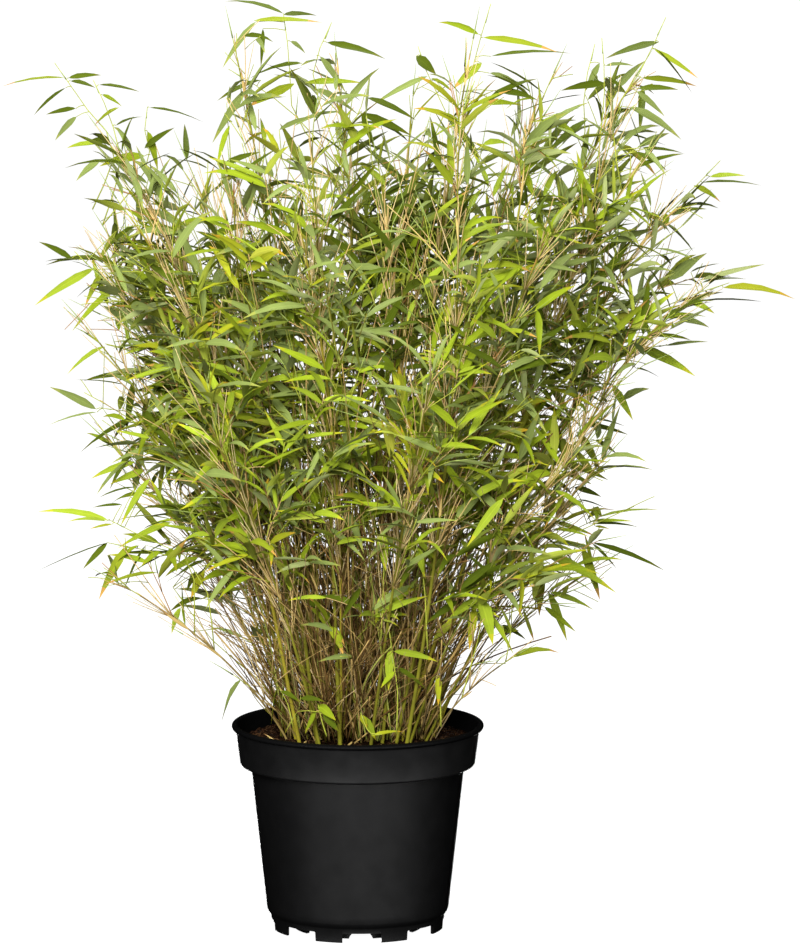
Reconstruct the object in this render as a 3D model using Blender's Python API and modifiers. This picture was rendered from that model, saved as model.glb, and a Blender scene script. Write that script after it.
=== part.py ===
"""A clump of slender bamboo culms in a round nursery pot.

Metres, +Z up. The origin is the centre of the pot's underside, and the front is -Y.
Every culm is one arched, tapering limb that stands on the soil. The mass of foliage at
its end is a stem that carries on the same arch, with twigs and leaves fused to it.
"""

import math
import random

import bmesh
import bpy
from mathutils import Matrix, Vector
from mathutils.kdtree import KDTree

MM = 0.001
GAP = 0.3 * MM  # between solids that touch
SEED = 7

# Pot
TURN_STEPS = 36
POT_HEIGHT = 213.5 * MM
BEAD_RADIUS = 130 * MM  # outside of the rolled rim
BEAD_THICK = 5.5 * MM
COLLAR_TOP_RADIUS = 125.7 * MM
COLLAR_FOOT_RADIUS = 121.5 * MM
COLLAR_FOOT = 171 * MM
BODY_TOP_RADIUS = 110 * MM
BODY_FOOT_RADIUS = 94 * MM
BODY_FOOT = 21 * MM
SKIRT_TOP_RADIUS = 89.8 * MM
SKIRT_FOOT_RADIUS = 88.8 * MM
SKIRT_TOP = 15 * MM
WALL = 2 * MM
FLOOR_BOTTOM = 11 * MM
FLOOR_TOP = 14 * MM
SKIRT_WALL = 3.3 * MM
RING_OUTER_RADIUS = 66 * MM
RING_INNER_RADIUS = 62 * MM
HUB_RADIUS = 22 * MM
NOTCH_COUNT = 8
NOTCH_WIDTH = 40 * MM
NOTCH_HEIGHT = 10 * MM
NOTCH_TURN = -87  # degrees, the notch at the front
ARCH_RADIUS = 13 * MM
ARCH_DROP = 4 * MM
DRAIN_RADIUS = 5 * MM
DRAIN_PLACE = 75.5 * MM

# Soil
SOIL_TOP = 200 * MM
SOIL_EDGE = 196 * MM
SOIL_FLAT_RADIUS = 98 * MM

# Culms: azimuth in degrees from +X towards +Y, reach and height of the last leaf's tip in mm
TOP_CULMS = (
    (172, 365, 863),
    (140, 250, 810),
    (195, 138, 958),
    (100, 142, 915),
    (75, 233, 874),
    (-20, 132, 958),
    (35, 265, 902),
    (5, 314, 925),
    (-12, 353, 880),
)
SIDE_CULMS = (
    (12, 417, 760),
    (-4, 443, 658),
    (-28, 400, 639),
    (186, 333, 690),
    (165, 328, 545),
    (235, 335, 640),
    (310, 330, 790),
    (255, 250, 800),
    (285, 325, 650),
    (60, 340, 720),
    (125, 340, 650),
    (92, 345, 560),
)
LOW_CULMS = (
    (15, 325, 400),
    (-35, 293, 350),
    (195, 343, 418),
    (215, 293, 345),
)
TIPS = TOP_CULMS + SIDE_CULMS + LOW_CULMS
FOOT_NEAR = 30 * MM  # the tallest culms stand nearest the middle
FOOT_FAR = 84 * MM
FULL_LEAN = 0.62  # reach by height from which a culm's foot stands at FOOT_FAR
FOOT_TURN = 9  # degrees of the most that a foot stands beside its tip's azimuth
CULM_STEPS = 9
CULM_RADIUS = 2.9 * MM
TIP_RADIUS = 1.9 * MM
UPRIGHT = 4 * MM  # of each culm above its flat cut
ARCH_RISE = 0.22
ARCH_HOLD = 0.42
SWAY = 16 * MM
BARE_SHARE = 0.36  # of a culm's rise, below its mass
LIMB_SPACING = 12 * MM  # between the middles of two culms, where there is room
FOOT_TRIES = 60
SHORTEST_STEP = 12 * MM  # between the points of a limb

# Foliage
TWIG_SPACING = 40 * MM
TWIG_LENGTH = 78 * MM
TWIG_RADIUS = 1.25 * MM
TWIG_TIP_RADIUS = 1.05 * MM
TWIG_SINK = 0.2 * MM  # past the middle of the stem
TWIG_ANGLE = 48  # degrees from the stem
GOLDEN_ANGLE = 137.508
LEAF_LENGTH = 98 * MM
LEAF_WIDTH = 25 * MM
LEAF_THICK = 2.6 * MM
LEAF_BELLY = 0.34  # of the length, where the leaf is widest
LEAF_NECK = 0.42 * MM
LEAF_SINK = 0.15 * MM  # past the middle of its twig
TERMINAL_SINK = 0.8 * MM  # into the end of its twig
LEAF_DROOP = 0.3
TWIG_LEAVES = ((0.8, -0.85), (0.55, 0.9), (0.32, -0.95))  # place on the twig, spread
PIECE_CLEARANCE = 6.5 * MM
SPACE_MARGIN = 3 * MM
TIP_ROOM = 6 * MM  # past a culm's own reach and height
CROWN_FOOT = 258 * MM  # the crown's underside over the rim, from where it rises outwards
CROWN_SLOPE = 0.4
POT_REACH = 120 * MM
# The crown's outline, in mm: (height, radius) to the right, to the left and in depth
CROWN_RIGHT = (
    (245, 100),
    (283, 165),
    (300, 220),
    (349, 272),
    (371, 318),
    (435, 314),
    (470, 278),
    (520, 292),
    (563, 304),
    (585, 340),
    (610, 362),
    (640, 432),
    (655, 444),
    (690, 420),
    (715, 365),
    (740, 362),
    (770, 408),
    (796, 390),
    (815, 345),
    (869, 350),
    (934, 317),
    (945, 150),
    (965, 132),
)
CROWN_LEFT = (
    (245, 100),
    (283, 150),
    (307, 195),
    (342, 262),
    (371, 330),
    (400, 280),
    (435, 330),
    (460, 282),
    (494, 288),
    (523, 320),
    (545, 296),
    (563, 318),
    (600, 292),
    (647, 332),
    (680, 292),
    (714, 328),
    (750, 278),
    (809, 294),
    (850, 322),
    (871, 368),
    (894, 312),
    (905, 165),
    (965, 140),
)
CROWN_DEPTH = (
    (245, 100),
    (300, 185),
    (350, 250),
    (420, 290),
    (520, 305),
    (640, 325),
    (720, 325),
    (800, 300),
    (860, 255),
    (920, 195),
    (965, 140),
)
# Its top seen from the front, in mm: (across, height)
CROWN_TOP = (
    (-368, 880),
    (-307, 900),
    (-262, 852),
    (-200, 820),
    (-157, 840),
    (-140, 965),
    (-100, 932),
    (-76, 948),
    (-26, 940),
    (26, 906),
    (44, 870),
    (64, 912),
    (90, 928),
    (124, 965),
    (170, 928),
    (192, 896),
    (215, 910),
    (262, 918),
    (313, 940),
    (348, 872),
    (354, 802),
    (387, 802),
    (408, 778),
    (430, 705),
    (446, 660),
)
VIEW_RISE = 0.151  # what a place further back gains in height, seen from the front
LIMB_CLEARANCE = 9 * MM
WELD = 0.0012 * MM  # corners closer than this could run together in the finished solid
SLIVER = 0.0001 * MM  # the thinnest triangle
NUDGE = 0.1 * MM
FUSE_TRIES = 60
TRIES_A_PIECE = 8

# Thin bare stems at the foot of the clump
BUNDLE_COUNT = 6
BUNDLE_STEMS = 5
BUNDLE_CLEARANCE = 5.5 * MM
STUB_RADIUS = 3.6 * MM
STUB_HEIGHT = 9 * MM
STUB_CLEARANCE = 9 * MM  # from the middle of its foot to the middle of the next limb
THIN_RADIUS = 1.3 * MM
THIN_TIP_RADIUS = 0.8 * MM
THIN_STEPS = (0.0, 0.35, 0.7, 1.0)
THIN_BOW = 12 * MM
THIN_TRIES = 400


def clear_scene():
    for obj in list(bpy.data.objects):
        bpy.data.objects.remove(obj, do_unlink=True)


def new_collection(name):
    collection = bpy.data.collections.new(name)
    bpy.context.scene.collection.children.link(collection)
    return collection


def new_material(name, colour, roughness, metallic=0.0):
    material = bpy.data.materials.new(name)
    material.use_nodes = True
    shader = material.node_tree.nodes["Principled BSDF"]
    shader.inputs["Base Color"].default_value = (*colour, 1.0)
    shader.inputs["Roughness"].default_value = roughness
    shader.inputs["Metallic"].default_value = metallic
    return material


def add_object(name, data, collection, material=None):
    obj = bpy.data.objects.new(name, data)
    collection.objects.link(obj)
    if material:
        data.materials.append(material)
    return obj


def plan_point(azimuth, radius, height=0.0):
    """The point at an azimuth in degrees and a radius from the pot's axis."""
    angle = math.radians(azimuth)
    return Vector((radius * math.cos(angle), radius * math.sin(angle), height))


# ---------------------------------------------------------------- pot and soil


def turned(name, profile, collection, material):
    """A solid of revolution. The profile holds (radius, height) and runs down its outer side."""
    mesh = bpy.data.meshes.new(name)
    mesh.from_pydata([(r, 0.0, z) for r, z in profile], [(i, i + 1) for i in range(len(profile) - 1)], [])
    obj = add_object(name, mesh, collection, material)
    screw = obj.modifiers.new("Turn", "SCREW")
    screw.steps = TURN_STEPS
    screw.render_steps = TURN_STEPS
    screw.use_merge_vertices = True
    screw.merge_threshold = 0.0001
    screw.use_smooth_shade = True
    return obj


def inner_wall():
    """The pot's inside as (radius, height) from the floor's edge up to the rim."""
    return [
        (SKIRT_TOP_RADIUS - 1.5 * WALL, FLOOR_TOP),
        (BODY_FOOT_RADIUS - WALL, BODY_FOOT + WALL),
        (BODY_TOP_RADIUS - WALL, COLLAR_FOOT + WALL),
        (COLLAR_FOOT_RADIUS - 1.6 * WALL, COLLAR_FOOT + 1.4 * WALL),
        (COLLAR_TOP_RADIUS - WALL, POT_HEIGHT - BEAD_THICK),
    ]


def pot_profile():
    bead_mid = POT_HEIGHT - BEAD_THICK / 2
    bead_inner = COLLAR_TOP_RADIUS - WALL
    return [
        (0.0, FLOOR_TOP),
        *inner_wall(),
        (bead_inner + 0.4 * MM, POT_HEIGHT - 1.5 * MM),
        (bead_inner + 2.2 * MM, POT_HEIGHT),
        (BEAD_RADIUS - 1.4 * MM, POT_HEIGHT - 0.6 * MM),
        (BEAD_RADIUS, bead_mid),
        (BEAD_RADIUS - 1.2 * MM, POT_HEIGHT - BEAD_THICK),
        (COLLAR_TOP_RADIUS, POT_HEIGHT - BEAD_THICK - 1.2 * MM),
        (COLLAR_FOOT_RADIUS + 0.4 * MM, COLLAR_FOOT + 3 * MM),
        (COLLAR_FOOT_RADIUS - 2 * MM, COLLAR_FOOT),
        (BODY_TOP_RADIUS, COLLAR_FOOT - 0.7 * MM),
        (BODY_FOOT_RADIUS, BODY_FOOT),
        (BODY_FOOT_RADIUS - 1.4 * MM, BODY_FOOT - 3.6 * MM),
        (SKIRT_TOP_RADIUS, SKIRT_TOP),
        (SKIRT_FOOT_RADIUS, 0.0),
        (SKIRT_FOOT_RADIUS - SKIRT_WALL, 0.0),
        (SKIRT_FOOT_RADIUS - SKIRT_WALL, FLOOR_BOTTOM),
        (RING_OUTER_RADIUS, FLOOR_BOTTOM),
        (RING_OUTER_RADIUS, 0.0),
        (RING_INNER_RADIUS, 0.0),
        (RING_INNER_RADIUS, FLOOR_BOTTOM),
        (HUB_RADIUS, FLOOR_BOTTOM),
        (HUB_RADIUS, 0.0),
        (0.0, 0.0),
    ]


def add_cutter(name, bm, place, cutters):
    mesh = bpy.data.meshes.new(name)
    bm.transform(place)
    bm.to_mesh(mesh)
    bm.free()
    cutter = add_object(name, mesh, cutters)
    cutter.hide_render = True
    cutter.display_type = "WIRE"


def add_foot_cutters(cutters):
    """The notches in the skirt, the arches in the ring behind them and the drain holes."""
    for index in range(NOTCH_COUNT):
        turn = Matrix.Rotation(math.radians(NOTCH_TURN + index * 360 / NOTCH_COUNT), 4, "Z")
        notch = bmesh.new()
        bmesh.ops.create_cube(notch, size=1.0)
        size = Matrix.Diagonal((14 * MM, NOTCH_WIDTH, 2 * NOTCH_HEIGHT, 1.0))
        add_cutter(f"notch_{index}", notch, turn @ Matrix.Translation((89 * MM, 0, 0)) @ size, cutters)
        arch = bmesh.new()
        bmesh.ops.create_cone(
            arch, cap_ends=True, segments=16, radius1=ARCH_RADIUS, radius2=ARCH_RADIUS, depth=12 * MM
        )
        lay = Matrix.Translation((64 * MM, 0, -ARCH_DROP)) @ Matrix.Rotation(math.pi / 2, 4, "Y")
        add_cutter(f"arch_{index}", arch, turn @ lay, cutters)
        drain = bmesh.new()
        bmesh.ops.create_cone(
            drain, cap_ends=True, segments=10, radius1=DRAIN_RADIUS, radius2=DRAIN_RADIUS, depth=8 * MM
        )
        lay = Matrix.Translation((DRAIN_PLACE, 0, (FLOOR_BOTTOM + FLOOR_TOP) / 2))
        add_cutter(f"drain_{index}", drain, turn @ lay, cutters)


def add_pot(plant, cutters):
    plastic = new_material("black_plastic", (0.018, 0.018, 0.019), 0.42)
    pot = turned("pot", pot_profile(), plant, plastic)
    add_foot_cutters(cutters)
    cut = pot.modifiers.new("Feet and drains", "BOOLEAN")
    cut.operation = "DIFFERENCE"
    cut.operand_type = "COLLECTION"
    cut.collection = cutters
    cut.solver = "EXACT"


def add_soil(plant):
    """The peat fills the pot to a little under its rim, with a level top where the clump stands."""
    peat = new_material("peat", (0.035, 0.022, 0.015), 0.95)
    wall = [(r - GAP, z) for r, z in inner_wall()[:-1]]
    low, high = inner_wall()[-2:]
    share = (SOIL_EDGE - low[1]) / (high[1] - low[1])
    edge = low[0] + (high[0] - low[0]) * share - GAP
    wall[0] = (wall[0][0], FLOOR_TOP + GAP)
    wall[2] = (wall[2][0], wall[2][1] + GAP)
    wall[3] = (wall[3][0], wall[3][1] + GAP)
    profile = [(0.0, SOIL_TOP), (SOIL_FLAT_RADIUS, SOIL_TOP), (edge, SOIL_EDGE)]
    profile += list(reversed(wall))
    profile.append((0.0, FLOOR_TOP + GAP))
    turned("soil", profile, plant, peat)


# ---------------------------------------------------------------- limbs


def spaced(points, step):
    """Points along a polyline, about a step apart."""
    out = [points[0]]
    for a, b in zip(points, points[1:]):
        count = max(1, math.ceil((b - a).length / step))
        out += [a.lerp(b, i / count) for i in range(1, count + 1)]
    return out


def tree_of(points):
    """The points as a tree that finds the nearest of them."""
    tree = KDTree(len(points))
    for index, point in enumerate(points):
        tree.insert(point, index)
    tree.balance()
    return tree


def nearest(points, tree):
    """The shortest way from any of the points to the tree's points."""
    return min(tree.find(point)[2] for point in points)


def culm_line(azimuth, reach, height, foot_azimuth, foot_radius, sway):
    """The arch from the soil to the furthest leaf: steep at first, then leaning out."""
    foot = plan_point(foot_azimuth, foot_radius, SOIL_TOP + GAP + UPRIGHT)
    tip = plan_point(azimuth, reach, height)
    side = Vector((-math.sin(math.radians(azimuth)), math.cos(math.radians(azimuth)), 0.0))
    points = [foot - Vector((0.0, 0.0, UPRIGHT))]
    for step in range(CULM_STEPS + 1):
        t = step / CULM_STEPS
        bend = t * (1 - t)
        point = foot.lerp(tip, t - ARCH_HOLD * bend)
        point.z = foot.z + (tip.z - foot.z) * (t + ARCH_RISE * bend)
        points.append(point + side * sway * math.sin(math.pi * t) * (1 - 0.4 * t))
    return points


def grow_culms(rng):
    """Every culm's line, kept clear of the lines before it."""
    lines = []
    taken = []
    for azimuth, reach, height in TIPS:
        outward = min(1.0, reach / height / FULL_LEAN)
        best = None
        before = tree_of(taken or [Vector((1.0, 1.0, 1.0))])
        for _ in range(FOOT_TRIES):
            foot_radius = (FOOT_NEAR + (FOOT_FAR - FOOT_NEAR) * outward) * rng.uniform(0.8, 1.05)
            foot_azimuth = azimuth + rng.uniform(-FOOT_TURN, FOOT_TURN)
            sway = rng.uniform(-SWAY, SWAY)
            line = culm_line(azimuth, reach * MM, height * MM, foot_azimuth, foot_radius, sway)
            room = nearest(spaced(line, 4 * MM), before)
            if best is None or room > best[0]:
                best = (room, line)
            if room > LIMB_SPACING:
                break
        lines.append(best[1])
        taken += spaced(best[1], 4 * MM)
    return lines


def shortened(line, cut):
    """A line cut back from its end by a length."""
    line = list(line)
    while (line[-1] - line[-2]).length <= cut:
        cut -= (line[-1] - line[-2]).length
        line.pop()
    line[-1] = line[-1] - (line[-1] - line[-2]).normalized() * cut
    if (line[-1] - line[-2]).length < SHORTEST_STEP:
        del line[-2]
    return line


def split_line(line):
    """The bare culm's points and the points of the stem of its mass, with a gap between them."""
    rise = line[0].z + BARE_SHARE * (line[-1].z - line[0].z)
    index = next(i for i, p in enumerate(line) if p.z > rise)
    low, high = line[index - 1], line[index]
    joint = low.lerp(high, (rise - low.z) / (high.z - low.z))
    along = (high - low).normalized()
    return line[:index] + [joint], [joint + along * GAP] + line[index:]


def limb_radius(share):
    """A culm's radius at a share of its whole length."""
    return CULM_RADIUS + (TIP_RADIUS - CULM_RADIUS) * share


def lengths(points):
    out = [0.0]
    for a, b in zip(points, points[1:]):
        out.append(out[-1] + (b - a).length)
    return out


def add_culm(name, points, whole, plant, material):
    """A tapering tube on a curve, with filled caps."""
    curve = bpy.data.curves.new(name, "CURVE")
    curve.dimensions = "3D"
    curve.bevel_depth = CULM_RADIUS
    curve.bevel_resolution = 1
    curve.use_fill_caps = True
    spline = curve.splines.new("POLY")
    spline.points.add(len(points) - 1)
    for place, point, length in zip(spline.points, points, lengths(points)):
        place.co = (*point, 1.0)
        place.radius = limb_radius(length / whole) / CULM_RADIUS
    add_object(name, curve, plant, material)


def limb_mesh(points, radii, sides=3):
    """A tapering limb of few sides: a disc that is extruded from point to point."""
    bm = bmesh.new()
    along = (points[1] - points[0]).normalized()
    turn = along.to_track_quat("Z", "Y").to_matrix().to_4x4()
    start = Matrix.Translation(points[0]) @ turn
    bmesh.ops.create_circle(bm, cap_ends=True, segments=sides, radius=radii[0], matrix=start)
    end = bm.faces[:]
    for index in range(1, len(points)):
        before = along
        last = index == len(points) - 1
        ahead = points[index] - points[index - 1] if last else points[index + 1] - points[index - 1]
        along = ahead.normalized()
        made = bmesh.ops.extrude_face_region(bm, geom=end)["geom"]
        verts = [v for v in made if isinstance(v, bmesh.types.BMVert)]
        if index > 1:
            bmesh.ops.delete(bm, geom=end, context="FACES_ONLY")
        end = [f for f in made if isinstance(f, bmesh.types.BMFace)]
        size = Matrix.Scale(radii[index] / radii[index - 1], 4)
        swing = before.rotation_difference(along).to_matrix().to_4x4()
        home = Matrix.Translation(-points[index - 1])
        bmesh.ops.transform(bm, matrix=Matrix.Translation(points[index]) @ swing @ size @ home, verts=verts)
    bmesh.ops.recalc_face_normals(bm, faces=bm.faces[:])
    bmesh.ops.triangulate(bm, faces=bm.faces[:])
    if bm.calc_volume(signed=True) < 0:
        bmesh.ops.reverse_faces(bm, faces=bm.faces[:])
    return bm


def leaf_matrix(base, along, flat):
    """A leaf's place: its length along one direction and its face towards another."""
    side = along.cross(flat).normalized()
    up = along.cross(side).normalized()
    turn = Matrix((side, up, along)).transposed().to_4x4()
    return Matrix.Translation(base) @ turn


def leaf_mesh(place, length, width):
    """A pointed leaf of three sides on a thin neck, widest a third of the way along."""
    bm = bmesh.new()
    belly = length * LEAF_BELLY
    middle = Matrix.Translation((0.0, 0.0, belly / 2))
    bmesh.ops.create_cone(
        bm, cap_ends=True, segments=3, radius1=LEAF_NECK, radius2=width / 2, depth=belly, matrix=middle
    )
    tip_face = max(bm.faces, key=lambda face: face.calc_center_median().z)
    right, left, ridge = sorted(tip_face.verts, key=lambda vert: (-abs(vert.co.x), vert.co.x))
    right.co = Vector((-width / 2, -LEAF_THICK / 3, belly))
    left.co = Vector((width / 2, -LEAF_THICK / 3, belly))
    ridge.co = Vector((0.0, LEAF_THICK * 2 / 3, belly))
    tip = bmesh.ops.poke(bm, faces=[tip_face])["verts"][0]
    tip.co = Vector((0.0, 0.0, length))
    bmesh.ops.triangulate(bm, faces=bm.faces[:])
    bm.transform(place)
    return bm


def leaf_samples(place, length, width):
    """Points over a leaf, a few along its length and three across."""
    points = []
    for step in range(2, 11):
        t = step / 10
        half = width / 2 * (t / LEAF_BELLY if t < LEAF_BELLY else (1 - t) / (1 - LEAF_BELLY))
        points += [place @ Vector((across * half, 0.0, t * length)) for across in (-1, 0, 1)]
    return points


def graded(table, place):
    """The value at a place, in a straight line between the rows of (place, value) round it."""
    for (low, first), (high, second) in zip(table, table[1:]):
        if place < high:
            return first + (second - first) * max(0.0, place - low) / (high - low)
    return table[-1][1]


def crown_edge(point):
    """The crown's radius towards a point, at the point's height."""
    side = CROWN_RIGHT if point.x > 0 else CROWN_LEFT
    share = (point.x / max(point.xy.length, 0.001)) ** 2
    height = point.z / MM
    return (graded(side, height) * share + graded(CROWN_DEPTH, height) * (1 - share)) * MM


def in_crown(point, reach, height):
    """Whether a place is within a culm's own reach and inside the outline of the crown."""
    radius = point.xy.length
    low = CROWN_FOOT + CROWN_SLOPE * (radius - POT_REACH)
    if not (radius < reach and low < point.z < height):
        return False
    top = graded(CROWN_TOP, point.x / MM) * MM
    return radius < crown_edge(point) and point.z + VIEW_RISE * point.y < top


class Space:
    """Which mass owns a place, and whether the place is clear of the limbs."""

    def __init__(self, tips, stems, limbs):
        self.tips = tips
        self.stems = [tree_of(spaced(stem, 9 * MM)) for stem in stems]
        self.limbs = tree_of(limbs)

    def holds(self, index, points):
        if nearest(points, self.limbs) < LIMB_CLEARANCE:
            return False
        _, reach, height = self.tips[index]
        if not all(in_crown(point, reach * MM + TIP_ROOM, height * MM + TIP_ROOM) for point in points):
            return False
        for point in points:
            own = nearest([point], self.stems[index])
            for other, stem in enumerate(self.stems):
                if other != index and nearest([point], stem) < own + SPACE_MARGIN:
                    return False
        return True


# ---------------------------------------------------------------- foliage


def droop(direction, amount):
    return (direction - Vector((0.0, 0.0, amount))).normalized()


class Mass:
    """The closed pieces of one mass, and the points that they take up."""

    def __init__(self, index, stem, radii, space, rng):
        self.index = index
        self.space = space
        self.rng = rng
        self.pieces = [limb_mesh(stem, radii)]
        self.taken = spaced(stem, 5 * MM)

    def fits(self, points):
        """Whether points keep to the mass's space and clear of what it already holds."""
        clear = nearest(points, tree_of(self.taken)) > PIECE_CLEARANCE
        return clear and self.space.holds(self.index, points)

    def add_leaf(self, root, along, length, last=False):
        """Adds a leaf, or says that it has no room. The last one of a stem always has."""
        rng = self.rng
        flat = (Vector((0.0, 0.0, 1.0)) + 0.8 * Vector([rng.uniform(-1, 1) for _ in range(3)])).normalized()
        place = leaf_matrix(root, along, flat)
        width = LEAF_WIDTH * rng.uniform(0.85, 1.1)
        samples = leaf_samples(place, length, width)
        if not (last or self.fits(samples)):
            return False
        self.pieces.append(leaf_mesh(place, length, width))
        self.taken += samples
        return True

    def add_leaf_shrunk(self, root, along):
        return any(self.add_leaf(root, along, LEAF_LENGTH * share) for share in (1.0, 0.8, 0.62))

    def add_twig(self, root, along):
        """Adds a twig with its leaves, as long as there is room for, unless no leaf fits on it."""
        for share in (1.0, 0.72, 0.45):
            end = root + along * TWIG_LENGTH * share * self.rng.uniform(0.85, 1.1)
            if self.fits(spaced([root + along * 12 * MM, end], 6 * MM)):
                break
        else:
            return False
        before = len(self.pieces)
        self.add_leaf_shrunk(end - along * TERMINAL_SINK, along)
        across = along.cross(Vector((0.0, 0.0, 1.0))).normalized()
        for share, spread in TWIG_LEAVES:
            way = droop(along + across * spread, LEAF_DROOP * self.rng.uniform(0.3, 1.5))
            self.add_leaf_shrunk(root.lerp(end, share) - way * LEAF_SINK, way)
        if len(self.pieces) == before:
            return False
        self.taken += spaced([root, end], 5 * MM)
        self.pieces.append(limb_mesh([root - along * TWIG_SINK, end], [TWIG_RADIUS, TWIG_TIP_RADIUS]))
        return True


def grow_mass(index, stem, radii, space, rng):
    """The stem of a mass, and the twigs and leaves on it, as separate closed meshes."""
    mass = Mass(index, stem, radii, space, rng)
    ahead = (stem[-1] - stem[-2]).normalized()
    mass.add_leaf(stem[-1] - ahead * TERMINAL_SINK, ahead, LEAF_LENGTH, last=True)
    walked = lengths(stem)
    turn = rng.uniform(0, 360)
    place = TWIG_SPACING * 0.4
    while place < walked[-1] - 12 * MM:
        step = max(i for i, length in enumerate(walked) if length <= place)
        ahead = (stem[step + 1] - stem[step]).normalized()
        root = stem[step] + ahead * (place - walked[step])
        side = ahead.orthogonal().normalized()
        side.rotate(Matrix.Rotation(math.radians(turn), 3, ahead))
        angle = math.radians(TWIG_ANGLE * rng.uniform(0.75, 1.2))
        grew = mass.add_twig(root, ahead * math.cos(angle) + side * math.sin(angle))
        place += TWIG_SPACING * (rng.uniform(0.8, 1.2) if grew else 0.3)
        turn += GOLDEN_ANGLE
    return mass


def largest_body(bm):
    """Keeps the mesh's largest shell, so a loose scrap or a sealed hollow goes."""
    left = set(bm.faces)
    shells = []
    while left:
        stack = [left.pop()]
        shell = list(stack)
        while stack:
            for edge in stack.pop().edges:
                for face in edge.link_faces:
                    if face in left:
                        left.remove(face)
                        stack.append(face)
                        shell.append(face)
        shells.append(shell)
    shells.sort(key=len)
    for shell in shells[:-1]:
        bmesh.ops.delete(bm, geom=shell, context="FACES")
    bmesh.ops.delete(bm, geom=[vert for vert in bm.verts if not vert.link_faces], context="VERTS")


def mesh_object(name, bm, collection, material=None):
    mesh = bpy.data.meshes.new(name)
    bm.to_mesh(mesh)
    bm.free()
    return add_object(name, mesh, collection, material)


def union_of(name, pieces):
    """One mesh from overlapping closed meshes, by a Boolean union on a collection."""
    joined = new_collection("pieces of " + name)
    body = mesh_object(name + "_body", pieces[0], bpy.context.scene.collection)
    for index, piece in enumerate(pieces[1:]):
        mesh_object(f"{name}_piece_{index}", piece, joined)
    union = body.modifiers.new("Union", "BOOLEAN")
    union.operation = "UNION"
    union.operand_type = "COLLECTION"
    union.collection = joined
    union.solver = "MANIFOLD"  # EXACT leaves open edges where several leaves cross
    graph = bpy.context.evaluated_depsgraph_get()
    bm = bmesh.new()
    bm.from_object(body, graph)
    for obj in [body, *joined.objects]:
        bpy.data.objects.remove(obj, do_unlink=True)
    bpy.data.collections.remove(joined)
    largest_body(bm)
    for _ in range(2):
        bmesh.ops.triangulate(bm, faces=bm.faces[:])
        bmesh.ops.dissolve_degenerate(bm, dist=WELD, edges=bm.edges[:])
    bmesh.ops.triangulate(bm, faces=bm.faces[:])
    return bm


def is_sound(bm):
    """Whether two triangles meet at every edge and no triangle or gap is thinner than the weld."""
    if any(len(edge.link_faces) != 2 for edge in bm.edges):
        return False
    for face in bm.faces:
        if 2 * face.calc_area() < SLIVER * max(edge.calc_length() for edge in face.edges):
            return False
    tree = tree_of([vert.co for vert in bm.verts])
    return all(len(tree.find_range(vert.co, WELD)) == 1 for vert in bm.verts)


def nudged(pieces, rng):
    """Copies of the pieces, each but the first moved by a hair."""
    moved = [piece.copy() for piece in pieces]
    for piece in moved[1:]:
        shift = Vector([rng.uniform(-NUDGE, NUDGE) for _ in range(3)])
        bmesh.ops.translate(piece, verts=piece.verts[:], vec=shift)
    return moved


def fuse(name, pieces, plant, material, rng):
    """A closed solid from overlapping pieces. A try that fails nudges them, and some fails drop one."""
    for attempt in range(FUSE_TRIES):
        bm = union_of(name, nudged(pieces, rng))
        if is_sound(bm):
            break
        bm.free()
        if attempt % TRIES_A_PIECE == TRIES_A_PIECE - 1:
            pieces = pieces[:-1]
    else:
        raise RuntimeError(f"{name} doesn't fuse")
    mesh_object(name, bm, plant, material)


# ---------------------------------------------------------------- thin stems


def grow_bundle(azimuth, radius, limbs, leaves, rng):
    """A rooted stub with thin bare stems fanning out of it, clear of the limbs and leaves round it."""
    foot = plan_point(azimuth, radius, SOIL_TOP + GAP)
    neck = foot + Vector((0.0, 0.0, STUB_HEIGHT))
    stub = bmesh.new()
    bmesh.ops.create_cone(
        stub,
        cap_ends=True,
        segments=6,
        radius1=STUB_RADIUS,
        radius2=STUB_RADIUS * 0.8,
        depth=STUB_HEIGHT,
        matrix=Matrix.Translation((foot + neck) / 2),
    )
    bmesh.ops.triangulate(stub, faces=stub.faces[:])
    pieces = [stub]
    taken = []
    for _ in range(THIN_TRIES):
        if len(pieces) > BUNDLE_STEMS:
            break
        lean = rng.uniform(0.15, 0.75)
        out = plan_point(azimuth + rng.uniform(-50, 50), lean)
        length = rng.uniform(90, 190) * MM
        way = (out + Vector((0.0, 0.0, 1.0))).normalized()
        root = neck - way * STUB_HEIGHT * 0.45
        bow = [Vector((0.0, 0.0, THIN_BOW * math.sin(math.pi * t))) for t in THIN_STEPS]
        line = [root + way * length * t + up for t, up in zip(THIN_STEPS, bow)]
        seen = spaced(line, 4 * MM)[2:]
        if nearest(seen, limbs) < BUNDLE_CLEARANCE or nearest(seen, leaves) < LIMB_CLEARANCE:
            continue
        if taken and nearest(seen[4:], tree_of(taken)) < BUNDLE_CLEARANCE:
            continue
        taken += seen
        radii = [THIN_RADIUS + (THIN_TIP_RADIUS - THIN_RADIUS) * t for t in THIN_STEPS]
        pieces.append(limb_mesh(line, radii))
    return pieces, taken


# ---------------------------------------------------------------- plant


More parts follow.
